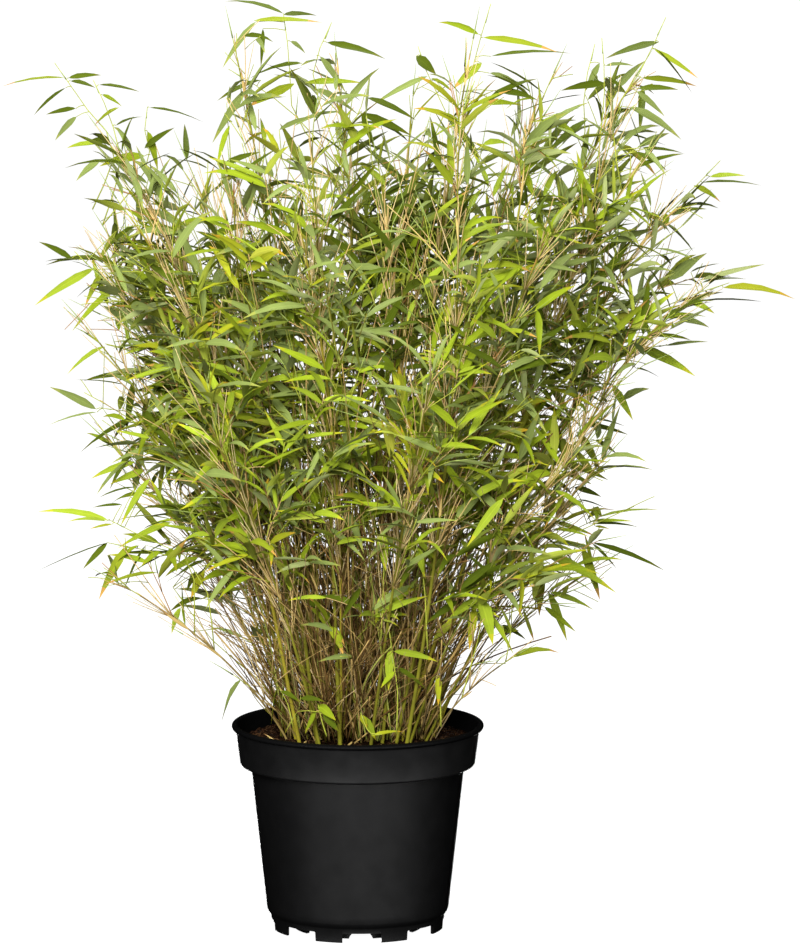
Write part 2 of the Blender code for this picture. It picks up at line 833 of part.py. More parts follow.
def add_plant(plant):
    rng = random.Random(SEED)
    cane = new_material("culm_green", (0.33, 0.36, 0.09), 0.5)
    straw = new_material("thin_stem_tan", (0.36, 0.27, 0.13), 0.6)
    lines = grow_culms(rng)
    limbs = []
    stems = []
    for number, line in enumerate(lines, 1):
        line = shortened(line, LEAF_LENGTH - TERMINAL_SINK)
        bare, stem = split_line(line)
        whole = lengths(line)[-1]
        add_culm(f"culm_{number:02d}", bare, whole, plant, cane)
        limbs += spaced(bare, 4 * MM)
        stems.append((stem, whole))
    space = Space(TIPS, [stem for stem, _ in stems], limbs)
    leaves = []
    for number, (stem, whole) in enumerate(stems, 1):
        rng = random.Random(SEED * 100 + number)
        shade = rng.uniform(0.8, 1.2)
        leafy = new_material(f"foliage_{number:02d}", (0.16 * shade, 0.27 * shade, 0.05), 0.5)
        start = 1 - lengths(stem)[-1] / whole
        radii = [limb_radius(start + length / whole) for length in lengths(stem)]
        mass = grow_mass(number - 1, stem, radii, space, rng)
        leaves += mass.taken
        fuse(f"foliage_{number:02d}", mass.pieces, plant, leafy, rng)
    leaves = tree_of(leaves)
    for number in range(1, BUNDLE_COUNT + 1):
        azimuth = number * GOLDEN_ANGLE
        radius = (18 + 68 * math.sqrt(number / BUNDLE_COUNT)) * MM
        tree = tree_of(limbs)
        while nearest([plan_point(azimuth, radius, SOIL_TOP + GAP)], tree) < STUB_CLEARANCE:
            azimuth += 4
        pieces, taken = grow_bundle(azimuth, radius, tree, leaves, rng)
        limbs += taken
        fuse(f"thin_stems_{number:02d}", pieces, plant, straw, rng)


def main():
    clear_scene()
    plant = new_collection("potted_bamboo")
    cutters = new_collection("cutters")
    add_plant(plant)
    add_pot(plant, cutters)
    add_soil(plant)


main()
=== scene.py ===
"""The looks of a clump of slender bamboo in a round nursery pot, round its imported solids.

Metres, +Z up, with the pot's underside on z = 0 and the front towards -Y. The culms
follow the same arched lines as their solids. Every mass of foliage is grown again from
its culm: a fan of branches at each node, twigs on the branches, and leaves on the twigs.
"""

import math
import random

import bmesh
import bpy
import numpy as np
from mathutils import Matrix, Vector, noise


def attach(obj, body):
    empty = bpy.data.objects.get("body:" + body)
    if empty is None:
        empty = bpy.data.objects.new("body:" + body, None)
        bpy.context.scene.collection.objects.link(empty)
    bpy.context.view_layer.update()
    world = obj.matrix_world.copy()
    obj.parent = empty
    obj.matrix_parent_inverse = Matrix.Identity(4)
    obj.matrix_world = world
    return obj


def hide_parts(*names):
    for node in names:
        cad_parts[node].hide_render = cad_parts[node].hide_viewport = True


MM = 0.001
BODY = "root"
UP = Vector((0.0, 0.0, 1.0))
GOLDEN_ANGLE = math.radians(137.508)

# Pot
POT_HEIGHT = 213.5 * MM
BEAD_RADIUS = 130 * MM
BEAD_THICK = 5.5 * MM
BEAD_FOOT = POT_HEIGHT - BEAD_THICK
COLLAR_TOP_RADIUS = 125.7 * MM
COLLAR_FOOT_RADIUS = 121.5 * MM
COLLAR_FOOT = 171 * MM
COLLAR_FILLET = 3 * MM
BODY_TOP_RADIUS = 110 * MM
BODY_FOOT_RADIUS = 94 * MM
BODY_FOOT = 21 * MM
SKIRT_TOP_RADIUS = 89.8 * MM
SKIRT_FOOT_RADIUS = 88.8 * MM
SKIRT_TOP = 15 * MM
WALL = 2 * MM
FLOOR_BOTTOM = 11 * MM
FLOOR_TOP = 14 * MM
SKIRT_WALL = 3.3 * MM
RING_OUTER_RADIUS = 66 * MM
RING_INNER_RADIUS = 62 * MM
HUB_RADIUS = 22 * MM
NOTCH_COUNT = 8
NOTCH_WIDTH = 40 * MM
NOTCH_HEIGHT = 10 * MM
NOTCH_TURN = -87  # degrees, the notch at the front
ARCH_RADIUS = 13 * MM
ARCH_DROP = 4 * MM
DRAIN_RADIUS = 5 * MM
DRAIN_PLACE = 75.5 * MM
POT_STEPS = 144
POT_CREASE = 28  # degrees
# Specular level of each part of the pot's one black plastic, painted sheen and shade: raised on the collar
# to stand in for light that the foliage keeps off it, almost none on the bead and the inside wall to keep
# them dark
POT_SHEEN = (("body", 0.22), ("collar", 0.50), ("bead", 0.035), ("inside", 0.03))

# Soil
SOIL_TOP = 200 * MM
SOIL_EDGE = 196 * MM
SOIL_FLAT_RADIUS = 98 * MM
SOIL_GAP = 0.3 * MM
SOIL_RINGS = 44
SOIL_SEED = 31
CRUMBS = 2600
FIBRES = 620
LITTER = 14
PEAT_RADIUS = 121.2 * MM

# Culms: azimuth in degrees from +X towards +Y, reach and height of the furthest tip in mm
TIPS = (
    (172, 365, 863),
    (140, 250, 810),
    (195, 138, 958),
    (100, 142, 915),
    (75, 233, 874),
    (-20, 132, 958),
    (35, 265, 902),
    (5, 314, 925),
    (-12, 353, 880),
    (12, 417, 760),
    (-4, 443, 658),
    (-28, 400, 639),
    (186, 333, 690),
    (165, 328, 545),
    (235, 335, 640),
    (310, 330, 790),
    (255, 250, 800),
    (285, 325, 650),
    (60, 340, 720),
    (125, 340, 650),
    (92, 345, 560),
    (15, 325, 400),
    (-35, 293, 350),
    (195, 343, 418),
    (215, 293, 345),
)
CULM_SEED = 7
FOOT_NEAR = 30 * MM
FOOT_FAR = 84 * MM
FULL_LEAN = 0.62
FOOT_TURN = 9
FOOT_TRIES = 60
CULM_STEPS = 9
LIMB_SPACING = 12 * MM
UPRIGHT = 4 * MM
ARCH_RISE = 0.22
ARCH_HOLD = 0.42
SWAY = 16 * MM
CULM_RADIUS = 2.2 * MM
CULM_TIP_RADIUS = 0.75 * MM
TIP_ROOM = 6 * MM
CROWN_FOOT = 258 * MM
CROWN_SLOPE = 0.4
POT_REACH = 120 * MM
# The crown's outline, in mm: (height, radius) to the right, to the left and in depth
CROWN_RIGHT = (
    (245, 100), (283, 165), (300, 220), (349, 272), (371, 318), (435, 314), (470, 278),
    (520, 292), (563, 304), (585, 340), (610, 362), (640, 432), (655, 444), (690, 420),
    (715, 365), (740, 362), (770, 408), (796, 390), (815, 345), (869, 350), (934, 317),
    (945, 150), (965, 132),
)
CROWN_LEFT = (
    (245, 100), (283, 150), (307, 195), (342, 262), (371, 330), (400, 280), (435, 330),
    (460, 282), (494, 288), (523, 320), (545, 296), (563, 318), (600, 292), (647, 332),
    (680, 292), (714, 328), (750, 278), (809, 294), (850, 322), (871, 368), (894, 312),
    (905, 165), (965, 140),
)
CROWN_DEPTH = (
    (245, 100), (300, 185), (350, 250), (420, 290), (520, 305), (640, 325), (720, 325),
    (800, 300), (860, 255), (920, 195), (965, 140),
)
# Its top seen from the front, in mm: (across, height)
CROWN_TOP = (
    (-368, 880), (-307, 900), (-262, 852), (-200, 820), (-157, 840), (-140, 965),
    (-100, 932), (-76, 948), (-26, 940), (26, 906), (44, 870), (64, 912), (90, 928),
    (124, 965), (170, 928), (192, 896), (215, 910), (262, 918), (313, 940), (348, 872),
    (354, 802), (387, 802), (408, 778), (430, 705), (446, 660),
)
# The plainest openings between the leaves, in mm as seen from the front: across, up and radius
OPENINGS = (
    (-50, 910, 10), (-115, 900, 15), (-140, 870, 10), (-145, 835, 15), (-90, 835, 10), (-170, 810, 10),
    (-120, 805, 10), (-175, 760, 10), (-275, 720, 15), (-295, 675, 10), (-290, 635, 15), (-255, 585, 15),
    (-260, 550, 10), (-290, 510, 10), (-265, 480, 10), (-190, 410, 10), (-210, 370, 10), (-290, 360, 15),
    (-215, 335, 20), (-165, 295, 10), (5, 885, 10), (35, 880, 20), (55, 845, 10), (90, 905, 20),
    (175, 880, 10), (205, 875, 15), (220, 880, 10), (300, 885, 10), (345, 810, 20), (310, 800, 10),
    (330, 770, 15), (310, 760, 10), (365, 710, 20), (310, 710, 10), (330, 615, 10), (320, 570, 10),
    (280, 495, 10), (265, 450, 10), (210, 415, 10), (270, 400, 10), (275, 360, 15), (190, 305, 10),
)
SHOULDER = 0.68  # m
# Where the crown is thinner, in mm as seen from the front:
# across, up, half width, half height and share of the leaves kept
THIN_PLACES = (
    (-20, 805, 75, 62, 0.5),
    (-95, 775, 60, 72, 0.6),
    (-165, 745, 70, 50, 0.6),
    (-285, 600, 42, 100, 0.5),
    (245, 490, 45, 55, 0.55),
    (-270, 740, 40, 50, 0.6),
)
# Where the crown's middle is painted in shade with dark leaves, in mm as seen from the front: across, up,
# half width, half height
PAINTED_SHADE_HEART = (48, 690, 46, 88)
FRONT_OF_HEART = 0.16
EDGE_SHARE = ((0.0, 1.0), (0.72, 1.0), (0.86, 0.45), (1.0, 0.35))  # leaves kept, by share of the reach
TOP_SHARE = ((0.0, 1.0), (0.70, 1.0), (0.80, 0.75), (0.95, 0.62))  # and by height, m
EDGE_INSET = 0.92  # single shoots and leaves reach the outline itself
TOP_INSET = 18 * MM
VIEW_RISE = 0.151  # what a place further back gains in height, seen from the front


# ---------------------------------------------------------------- materials


def new_group(name, inputs, outputs):
    """An empty node group with named sockets, and its input and output nodes."""
    group = bpy.data.node_groups.new(name, "ShaderNodeTree")
    kinds = {"colour": "NodeSocketColor", "value": "NodeSocketFloat"}
    for socket, kind in inputs:
        group.interface.new_socket(name=socket, in_out="INPUT", socket_type=kinds[kind])
    for socket, kind in outputs:
        group.interface.new_socket(name=socket, in_out="OUTPUT", socket_type=kinds[kind])
    return group, group.nodes.new("NodeGroupInput"), group.nodes.new("NodeGroupOutput")


def add_node(tree, kind, settings=None, **values):
    """A node with its settings and the default values of its inputs, which are named without spaces."""
    node = tree.nodes.new(kind)
    for key, value in (settings or {}).items():
        setattr(node, key, value)
    for socket in node.inputs:
        key = socket.name.replace(" ", "_")
        if key in values:
            socket.default_value = values.pop(key)
    return node


def maths(tree, operation, first, second=0.0):
    """A Math node's output; its inputs are sockets or numbers."""
    node = tree.nodes.new("ShaderNodeMath")
    node.operation = operation
    for socket, value in zip(node.inputs, (first, second)):
        if isinstance(value, bpy.types.NodeSocket):
            tree.links.new(value, socket)
        else:
            socket.default_value = value
    return node.outputs[0]


def blend(tree, factor, first, second, kind="MIX"):
    """A colour Mix node's output; its inputs are sockets, numbers or colours."""
    node = tree.nodes.new("ShaderNodeMix")
    node.data_type = "RGBA"
    node.blend_type = kind
    for index, value in ((0, factor), (6, first), (7, second)):
        if isinstance(value, bpy.types.NodeSocket):
            tree.links.new(value, node.inputs[index])
        elif index == 0:
            node.inputs[index].default_value = value
        else:
            node.inputs[index].default_value = (*value, 1.0)
    return node.outputs[2]


def noise_of(tree, scale, detail=3.0, rough=0.55):
    """Noise over the piece in object space, spread over the whole of 0 to 1."""
    place = tree.nodes.new("ShaderNodeTexCoord")
    texture = add_node(tree, "ShaderNodeTexNoise", Scale=scale, Detail=detail, Roughness=rough)
    spread = add_node(tree, "ShaderNodeMapRange", {"clamp": True}, From_Min=0.32, From_Max=0.68)
    tree.links.new(place.outputs["Object"], texture.inputs["Vector"])
    tree.links.new(texture.outputs[0], spread.inputs["Value"])
    return spread.outputs[0]


def mottle_group():
    """Two tones mixed by coarse noise, with fine grain as height."""
    group, given, result = new_group(
        "mottle",
        (("Light", "colour"), ("Dark", "colour"), ("Amount", "value")),
        (("Color", "colour"), ("Height", "value")),
    )
    coarse = noise_of(group, 38.0)
    fine = noise_of(group, 420.0, 2.0)
    amount = maths(group, "MULTIPLY", coarse, given.outputs["Amount"])
    tone = blend(group, amount, (1, 1, 1), (1, 1, 1))
    mix = tone.node
    group.links.new(given.outputs["Light"], mix.inputs[6])
    group.links.new(given.outputs["Dark"], mix.inputs[7])
    group.links.new(tone, result.inputs["Color"])
    group.links.new(fine, result.inputs["Height"])
    return group


def blade_group():
    """A leaf's colour along its UV map: a pale midrib, fine lengthwise veins and each leaf's own tone.

    The map's u runs across the leaf and its v along it, plus the leaf's number.
    """
    group, given, result = new_group(
        "blade",
        (("Base", "colour"), ("Rib", "colour"), ("Other", "colour"), ("Spread", "value")),
        (("Color", "colour"), ("Height", "value")),
    )
    uv = group.nodes.new("ShaderNodeUVMap")
    uv.uv_map = "blade"
    split = group.nodes.new("ShaderNodeSeparateXYZ")
    group.links.new(uv.outputs[0], split.inputs[0])
    across, along = split.outputs[0], split.outputs[1]
    number = maths(group, "FLOOR", along)
    own = add_node(group, "ShaderNodeTexWhiteNoise", {"noise_dimensions": "1D"})
    group.links.new(number, own.inputs["W"])
    own_tone = own.outputs["Value"]
    from_rib = maths(group, "ABSOLUTE", maths(group, "SUBTRACT", across, 0.5))
    rib = maths(group, "LESS_THAN", from_rib, 0.055)
    veins = maths(group, "SINE", maths(group, "MULTIPLY", across, 26.0))
    cloud = noise_of(group, 60.0, 2.0)
    other = blend(group, maths(group, "MULTIPLY", cloud, 0.45), (0, 0, 0), (0, 0, 0))
    group.links.new(given.outputs["Base"], other.node.inputs[6])
    group.links.new(given.outputs["Other"], other.node.inputs[7])
    ribbed = blend(group, maths(group, "MULTIPLY", rib, 0.4), other, (0, 0, 0))
    group.links.new(given.outputs["Rib"], ribbed.node.inputs[7])
    swing = maths(group, "MULTIPLY", maths(group, "SUBTRACT", own_tone, 0.5), given.outputs["Spread"])
    vein_tone = maths(group, "MULTIPLY", veins, 0.025)
    gain = maths(group, "ADD", maths(group, "ADD", swing, vein_tone), 1.0)
    scaled = group.nodes.new("ShaderNodeVectorMath")
    scaled.operation = "SCALE"
    group.links.new(ribbed, scaled.inputs[0])
    group.links.new(gain, scaled.inputs["Scale"])
    group.links.new(scaled.outputs[0], result.inputs["Color"])
    relief = maths(group, "ADD", maths(group, "MULTIPLY", veins, 0.2), rib)
    group.links.new(relief, result.inputs["Height"])
    return group


def finish_material(name, group, colours, roughness, bump, specular=0.5, **values):
    """A Principled material whose colour and relief come from one of the node groups."""
    material = bpy.data.materials.new(name)
    material.use_nodes = True
    tree = material.node_tree
    shader = tree.nodes["Principled BSDF"]
    shader.inputs["Roughness"].default_value = roughness
    shader.inputs["Specular IOR Level"].default_value = specular
    look = tree.nodes.new("ShaderNodeGroup")
    look.node_tree = group
    for socket, colour in colours.items():
        look.inputs[socket].default_value = (*colour, 1.0)
    for socket, value in values.items():
        look.inputs[socket].default_value = value
    relief = tree.nodes.new("ShaderNodeBump")
    relief.inputs["Strength"].default_value = bump[0]
    relief.inputs["Distance"].default_value = bump[1] * MM
    tree.links.new(look.outputs["Color"], shader.inputs["Base Color"])
    tree.links.new(look.outputs["Height"], relief.inputs["Height"])
    tree.links.new(relief.outputs[0], shader.inputs["Normal"])
    return material


MOTTLE = mottle_group()
BLADE = blade_group()


def mottled(name, light, dark, roughness, bump=(0.3, 0.1), amount=0.7, specular=0.5):
    """A skin or bark in two mottled colours."""
    colours = {"Light": light, "Dark": dark}
    return finish_material(name, MOTTLE, colours, roughness, bump, specular, Amount=amount)


def leaf_material(name, base, rib, other, roughness=0.42, spread=0.3):
    """A leaf's face, with its midrib, its veins and a second colour in patches."""
    colours = {"Base": base, "Rib": rib, "Other": other}
    return finish_material(name, BLADE, colours, roughness, (0.06, 0.12), 0.25, Spread=spread)


# ---------------------------------------------------------------- pieces and joined meshes


def add_piece(name, mesh, replaced, materials):
    """The finished object of a mesh: it rides with the plant, and the parts it replaces are hidden."""
    for material in materials:
        mesh.materials.append(material)
    piece = bpy.data.objects.new(name, mesh)
    bpy.context.scene.collection.objects.link(piece)
    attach(piece, BODY)
    if replaced:
        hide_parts(*replaced)
    return piece


def mesh_from(name, bm, smooth=None):
    """A mesh from a bmesh, smooth up to an angle in degrees where one is given."""
    mesh = bpy.data.meshes.new(name)
    bm.to_mesh(mesh)
    bm.free()
    if smooth is not None:
        mesh.shade_smooth()
        mesh.set_sharp_from_angle(angle=math.radians(smooth))
    return mesh


class Template:
    """A small closed mesh as arrays, to be repeated many times in one joined mesh."""

    def __init__(self, bm, uv, shade, sharp):
        bm.verts.index_update()
        self.places = np.array([vert.co for vert in bm.verts], np.float64)
        corners = [[loop.vert.index for loop in face.loops] for face in bm.faces]
        self.corners = np.array([index for face in corners for index in face], np.int64)
        self.starts = np.cumsum([0] + [len(face) for face in corners[:-1]])
        self.shades = np.array([shade(face) for face in bm.faces], np.int64)
        self.uv = np.array([uv(loop.vert.co) for face in bm.faces for loop in face.loops], np.float64)
        self.sharp = np.array([sharp(vert.co) for vert in bm.verts], bool)
        bm.free()


def joined_mesh(name, template, places, shades=None):
    """One mesh of many copies of a template, whose corners lie at places[copy, corner]."""
    copies, size = places.shape[:2]
    corners = (template.corners[None, :] + np.arange(copies)[:, None] * size).ravel()
    starts = (template.starts[None, :] + np.arange(copies)[:, None] * len(template.corners)).ravel()
    uv = np.repeat(template.uv[None], copies, 0)
    uv[..., 1] += np.arange(copies)[:, None]
    chosen = np.repeat(template.shades[None], copies, 0)
    if shades is not None:
        chosen = chosen + shades[:, None]
    mesh = bpy.data.meshes.new(name)
    mesh.vertices.add(copies * size)
    mesh.vertices.foreach_set("co", places.astype(np.float32).ravel())
    mesh.loops.add(len(corners))
    mesh.loops.foreach_set("vertex_index", corners.astype(np.int32))
    mesh.polygons.add(len(starts))
    mesh.polygons.foreach_set("loop_start", starts.astype(np.int32))
    mesh.polygons.foreach_set("material_index", chosen.astype(np.int32).ravel())
    mesh.polygons.foreach_set("use_smooth", np.ones(len(starts), bool))
    mesh.uv_layers.new(name="blade").data.foreach_set("uv", uv.astype(np.float32).ravel())
    mesh.update(calc_edges=True)
    if template.sharp.any():
        ends = np.empty(len(mesh.edges) * 2, np.int32)
        mesh.edges.foreach_get("vertices", ends)
        rim = template.sharp[ends.reshape(-1, 2) % size].all(axis=1)
        mesh.attributes.new("sharp_edge", "BOOLEAN", "EDGE").data.foreach_set("value", rim)
    return mesh


# ---------------------------------------------------------------- pot


def arc(centre, radius, start, end, steps):
    """Points on an arc in (radius, height), from one angle in degrees to another."""
    turn = [math.radians(start + (end - start) * step / steps) for step in range(steps + 1)]
    return [(centre[0] + radius * math.cos(a), centre[1] + radius * math.sin(a)) for a in turn]


def turned_mesh(profile, steps):
    """A closed solid of revolution from a (radius, height) profile that starts and ends on the axis."""
    bm = bmesh.new()
    verts = [bm.verts.new((r, 0.0, z)) for r, z in profile]
    edges = [bm.edges.new(pair) for pair in zip(verts, verts[1:])]
    bmesh.ops.spin(
        bm,
        geom=verts + edges,
        axis=UP,
        cent=(0, 0, 0),
        angle=2 * math.pi,
        steps=steps,
        use_merge=True,
    )
    bmesh.ops.remove_doubles(bm, verts=bm.verts, dist=0.00001)
    bmesh.ops.recalc_face_normals(bm, faces=bm.faces)
    return bm


def pot_profile():
    """The pot's section: up its inside, over the rolled rim and down its outside."""
    inner = COLLAR_TOP_RADIUS - WALL
    bead_mid = (BEAD_RADIUS - BEAD_THICK / 2, POT_HEIGHT - BEAD_THICK / 2)
    collar_low = (COLLAR_FOOT_RADIUS - COLLAR_FILLET, COLLAR_FOOT + COLLAR_FILLET)
    return [
        (0.0, FLOOR_TOP),
        (SKIRT_TOP_RADIUS - 1.5 * WALL, FLOOR_TOP),
        (BODY_FOOT_RADIUS - WALL, BODY_FOOT + WALL),
        (BODY_TOP_RADIUS - WALL, COLLAR_FOOT + WALL),
        (COLLAR_FOOT_RADIUS - 1.6 * WALL, COLLAR_FOOT + 1.4 * WALL),
        (inner, BEAD_FOOT),
        *arc((inner + 2.2 * MM, POT_HEIGHT - 2.2 * MM), 2.2 * MM, 180, 90, 5),
        *arc(bead_mid, BEAD_THICK / 2, 80, -80, 10),
        (COLLAR_TOP_RADIUS + 0.6 * MM, BEAD_FOOT - 0.2 * MM),
        (COLLAR_TOP_RADIUS, BEAD_FOOT - 1.2 * MM),
        *arc(collar_low, COLLAR_FILLET, -5, -80, 6),
        (BODY_TOP_RADIUS + 1.2 * MM, COLLAR_FOOT - 0.2 * MM),
        (BODY_TOP_RADIUS, COLLAR_FOOT - 1.6 * MM),
        (BODY_FOOT_RADIUS + 0.6 * MM, BODY_FOOT + 6 * MM),
        (BODY_FOOT_RADIUS, BODY_FOOT),
        (BODY_FOOT_RADIUS - 0.4 * MM, BODY_FOOT - 1.2 * MM),
        (BODY_FOOT_RADIUS - 1.6 * MM, BODY_FOOT - 3.8 * MM),
        (SKIRT_TOP_RADIUS + 0.5 * MM, SKIRT_TOP + 0.3 * MM),
        (SKIRT_TOP_RADIUS, SKIRT_TOP - 0.5 * MM),
        (SKIRT_FOOT_RADIUS, 0.4 * MM),
        (SKIRT_FOOT_RADIUS - 0.4 * MM, 0.0),
        (SKIRT_FOOT_RADIUS - SKIRT_WALL, 0.0),
        (SKIRT_FOOT_RADIUS - SKIRT_WALL, FLOOR_BOTTOM),
        (RING_OUTER_RADIUS, FLOOR_BOTTOM),
        (RING_OUTER_RADIUS, 0.0),
        (RING_INNER_RADIUS, 0.0),
        (RING_INNER_RADIUS, FLOOR_BOTTOM),
        (HUB_RADIUS, FLOOR_BOTTOM),
        (HUB_RADIUS, 0.0),
        (0.0, 0.0),
    ]


def foot_cutters():
    """One mesh of the notches in the skirt, the arches behind them and the drain holes."""
    cutters = bmesh.new()
    for index in range(NOTCH_COUNT):
        turn = Matrix.Rotation(math.radians(NOTCH_TURN + index * 360 / NOTCH_COUNT), 4, "Z")
        size = Matrix.Diagonal((14 * MM, NOTCH_WIDTH, 2 * NOTCH_HEIGHT, 1.0))
        place = turn @ Matrix.Translation((89 * MM, 0, 0)) @ size
        box = bmesh.ops.create_cube(cutters, size=1.0, matrix=place)
        upright = [edge for vert in box["verts"] for edge in vert.link_edges]
        top = {edge for edge in upright if all(vert.co.z > 0 for vert in edge.verts)}
        bmesh.ops.bevel(
            cutters, geom=list(top), offset=1.2 * MM, segments=3, affect="EDGES", profile=0.5, material=-1
        )
        lay = Matrix.Translation((64 * MM, 0, -ARCH_DROP)) @ Matrix.Rotation(math.pi / 2, 4, "Y")
        bmesh.ops.create_cone(
            cutters,
            cap_ends=True,
            segments=32,
            radius1=ARCH_RADIUS,
            radius2=ARCH_RADIUS,
            depth=12 * MM,
            matrix=turn @ lay,
        )
        bmesh.ops.create_cone(
            cutters,
            cap_ends=True,
            segments=20,
            radius1=DRAIN_RADIUS,
            radius2=DRAIN_RADIUS,
            depth=8 * MM,
            matrix=turn @ Matrix.Translation((DRAIN_PLACE, 0, (FLOOR_BOTTOM + FLOOR_TOP) / 2)),
        )
    return mesh_from("foot_cutters", cutters)


def cut_mesh(mesh, cutter_mesh):
    """The mesh with the cutter taken away."""
    body = bpy.data.objects.new("cut_body", mesh)
    cutter = bpy.data.objects.new("cutter", cutter_mesh)
    for obj in (body, cutter):
        bpy.context.scene.collection.objects.link(obj)
    modifier = body.modifiers.new("Cut", "BOOLEAN")
    modifier.operation = "DIFFERENCE"
    modifier.object = cutter
    modifier.solver = "EXACT"
    result = bpy.data.meshes.new_from_object(body.evaluated_get(bpy.context.evaluated_depsgraph_get()))
    for obj in (body, cutter):
        bpy.data.objects.remove(obj, do_unlink=True)
    return result


def plastic_material(name, sheen):
    """Black moulded plastic with a fine grain and faint wear."""
    material = bpy.data.materials.new(name)
    material.use_nodes = True
    tree = material.node_tree
    shader = tree.nodes["Principled BSDF"]
    shader.inputs["Specular IOR Level"].default_value = sheen
    cloud = noise_of(tree, 9.0, 4.0)
    tone = blend(tree, cloud, (0.0022, 0.0022, 0.0023), (0.0030, 0.0030, 0.0031))
    gloss = maths(tree, "ADD", maths(tree, "MULTIPLY", noise_of(tree, 55.0, 4.0), 0.07), 0.40)
    grain = noise_of(tree, 900.0, 2.0)
    relief = tree.nodes.new("ShaderNodeBump")
    relief.inputs["Strength"].default_value = 0.12
    relief.inputs["Distance"].default_value = 0.04 * MM
    tree.links.new(tone, shader.inputs["Base Color"])
    tree.links.new(gloss, shader.inputs["Roughness"])
    tree.links.new(grain, relief.inputs["Height"])
    tree.links.new(relief.outputs[0], shader.inputs["Normal"])
    return material


def pot_part(face):
    """Which copy of the pot's black plastic a face has, as its row in POT_SHEEN."""
    middle = face.center
    if middle.z > BEAD_FOOT:
        return 2
    if middle.z > FLOOR_TOP - 0.1 * MM and face.normal.xy.dot(middle.xy) < 0:
        return 3
    return 1 if middle.z > COLLAR_FOOT else 0


def add_pot():
    """The pot, turned as one solid and cut at the foot, in four copies of one black plastic whose specular
    level differs by part: painted sheen and shade.
    """
    whole = mesh_from("pot_body", turned_mesh(pot_profile(), POT_STEPS))
    mesh = cut_mesh(whole, foot_cutters())
    mesh.name = "nursery_pot"
    mesh.shade_smooth()
    mesh.set_sharp_from_angle(angle=math.radians(POT_CREASE))
    mesh.materials.clear()
    mesh.polygons.foreach_set("material_index", [pot_part(face) for face in mesh.polygons])
    # Four copies of the one black plastic that differ only in specular level: painted sheen and shade
    plastic_sheen_copies = [plastic_material(f"black_plastic_{name}", sheen) for name, sheen in POT_SHEEN]
    add_piece("nursery_pot", mesh, ["pot"], plastic_sheen_copies)


# ---------------------------------------------------------------- curves


def drawn_back(line):
    """A thin stem whose foot stands a little further from the pot's front."""
    shift = max(0.0, -line[0].y) * (1 - FRONT_FOOT)
    low = line[0].z
    fall = [max(0.0, 1 - (point.z - low) / FOOT_RISE) for point in line]
    return [point + Vector((0.0, shift * share, 0.0)) for point, share in zip(line, fall)]


def plan_point(azimuth, radius, height=0.0):
    """The point at an azimuth in degrees and a radius from the pot's axis."""
    angle = math.radians(azimuth)
    return Vector((radius * math.cos(angle), radius * math.sin(angle), height))


def spaced(points, step):
    """Points along a polyline, about a step apart."""
    out = [points[0]]
    for a, b in zip(points, points[1:]):
        count = max(1, math.ceil((b - a).length / step))
        out += [a.lerp(b, i / count) for i in range(1, count + 1)]
    return out


def lengths(points):
    """How far each point of a polyline is from its start, along it."""
    out = [0.0]
    for a, b in zip(points, points[1:]):
        out.append(out[-1] + (b - a).length)
    return out


def eased(points, steps):
    """A smooth curve through the points, with a number of steps between each two."""
    out = []
    ends = [2 * points[0] - points[1], *points, 2 * points[-1] - points[-2]]
    for before, a, b, after in zip(ends, ends[1:], ends[2:], ends[3:]):
        for step in range(steps):
            t = step / steps
            out.append(
                0.5
                * (
                    2 * a
                    + (b - before) * t
                    + (2 * before - 5 * a + 4 * b - after) * t * t
                    + (3 * a - before - 3 * b + after) * t * t * t
                )
            )
    return [*out, points[-1]]


class Path:
    """A polyline that can be asked for its place and direction at any length along it."""

    def __init__(self, points):
        self.points = points
        self.walked = lengths(points)
        self.length = self.walked[-1]

    def step_at(self, distance):
        """The number of the step that a length falls in."""
        low, high = 0, len(self.points) - 2
        while low < high:
            middle = (low + high + 1) // 2
            if self.walked[middle] <= distance:
                low = middle
            else:
                high = middle - 1
        return low

    def at(self, distance):
        """The place at a length."""
        step = self.step_at(distance)
        a, b = self.points[step], self.points[step + 1]
        return a.lerp(b, (distance - self.walked[step]) / max(1e-9, (b - a).length))

    def ahead(self, distance):
        """The direction at a length."""
        step = self.step_at(distance)
        return (self.points[step + 1] - self.points[step]).normalized()

    def cut(self, start, end, steps):
        """Points from one length to another, a fixed number of steps."""
        return [self.at(start + (end - start) * step / steps) for step in range(steps + 1)]


# ---------------------------------------------------------------- culm lines


def culm_line(azimuth, reach, height, foot_azimuth, foot_radius, sway):
    """The arch from the soil to the furthest leaf: steep at first, then leaning out."""
    foot = plan_point(foot_azimuth, foot_radius, SOIL_TOP + SOIL_GAP + UPRIGHT)
    tip = plan_point(azimuth, reach, height)
    side = Vector((-math.sin(math.radians(azimuth)), math.cos(math.radians(azimuth)), 0.0))
    points = [foot - Vector((0.0, 0.0, UPRIGHT))]
    for step in range(CULM_STEPS + 1):
        t = step / CULM_STEPS
        bend = t * (1 - t)
        point = foot.lerp(tip, t - ARCH_HOLD * bend)
        point.z = foot.z + (tip.z - foot.z) * (t + ARCH_RISE * bend)
        points.append(point + side * sway * math.sin(math.pi * t) * (1 - 0.4 * t))
    return points


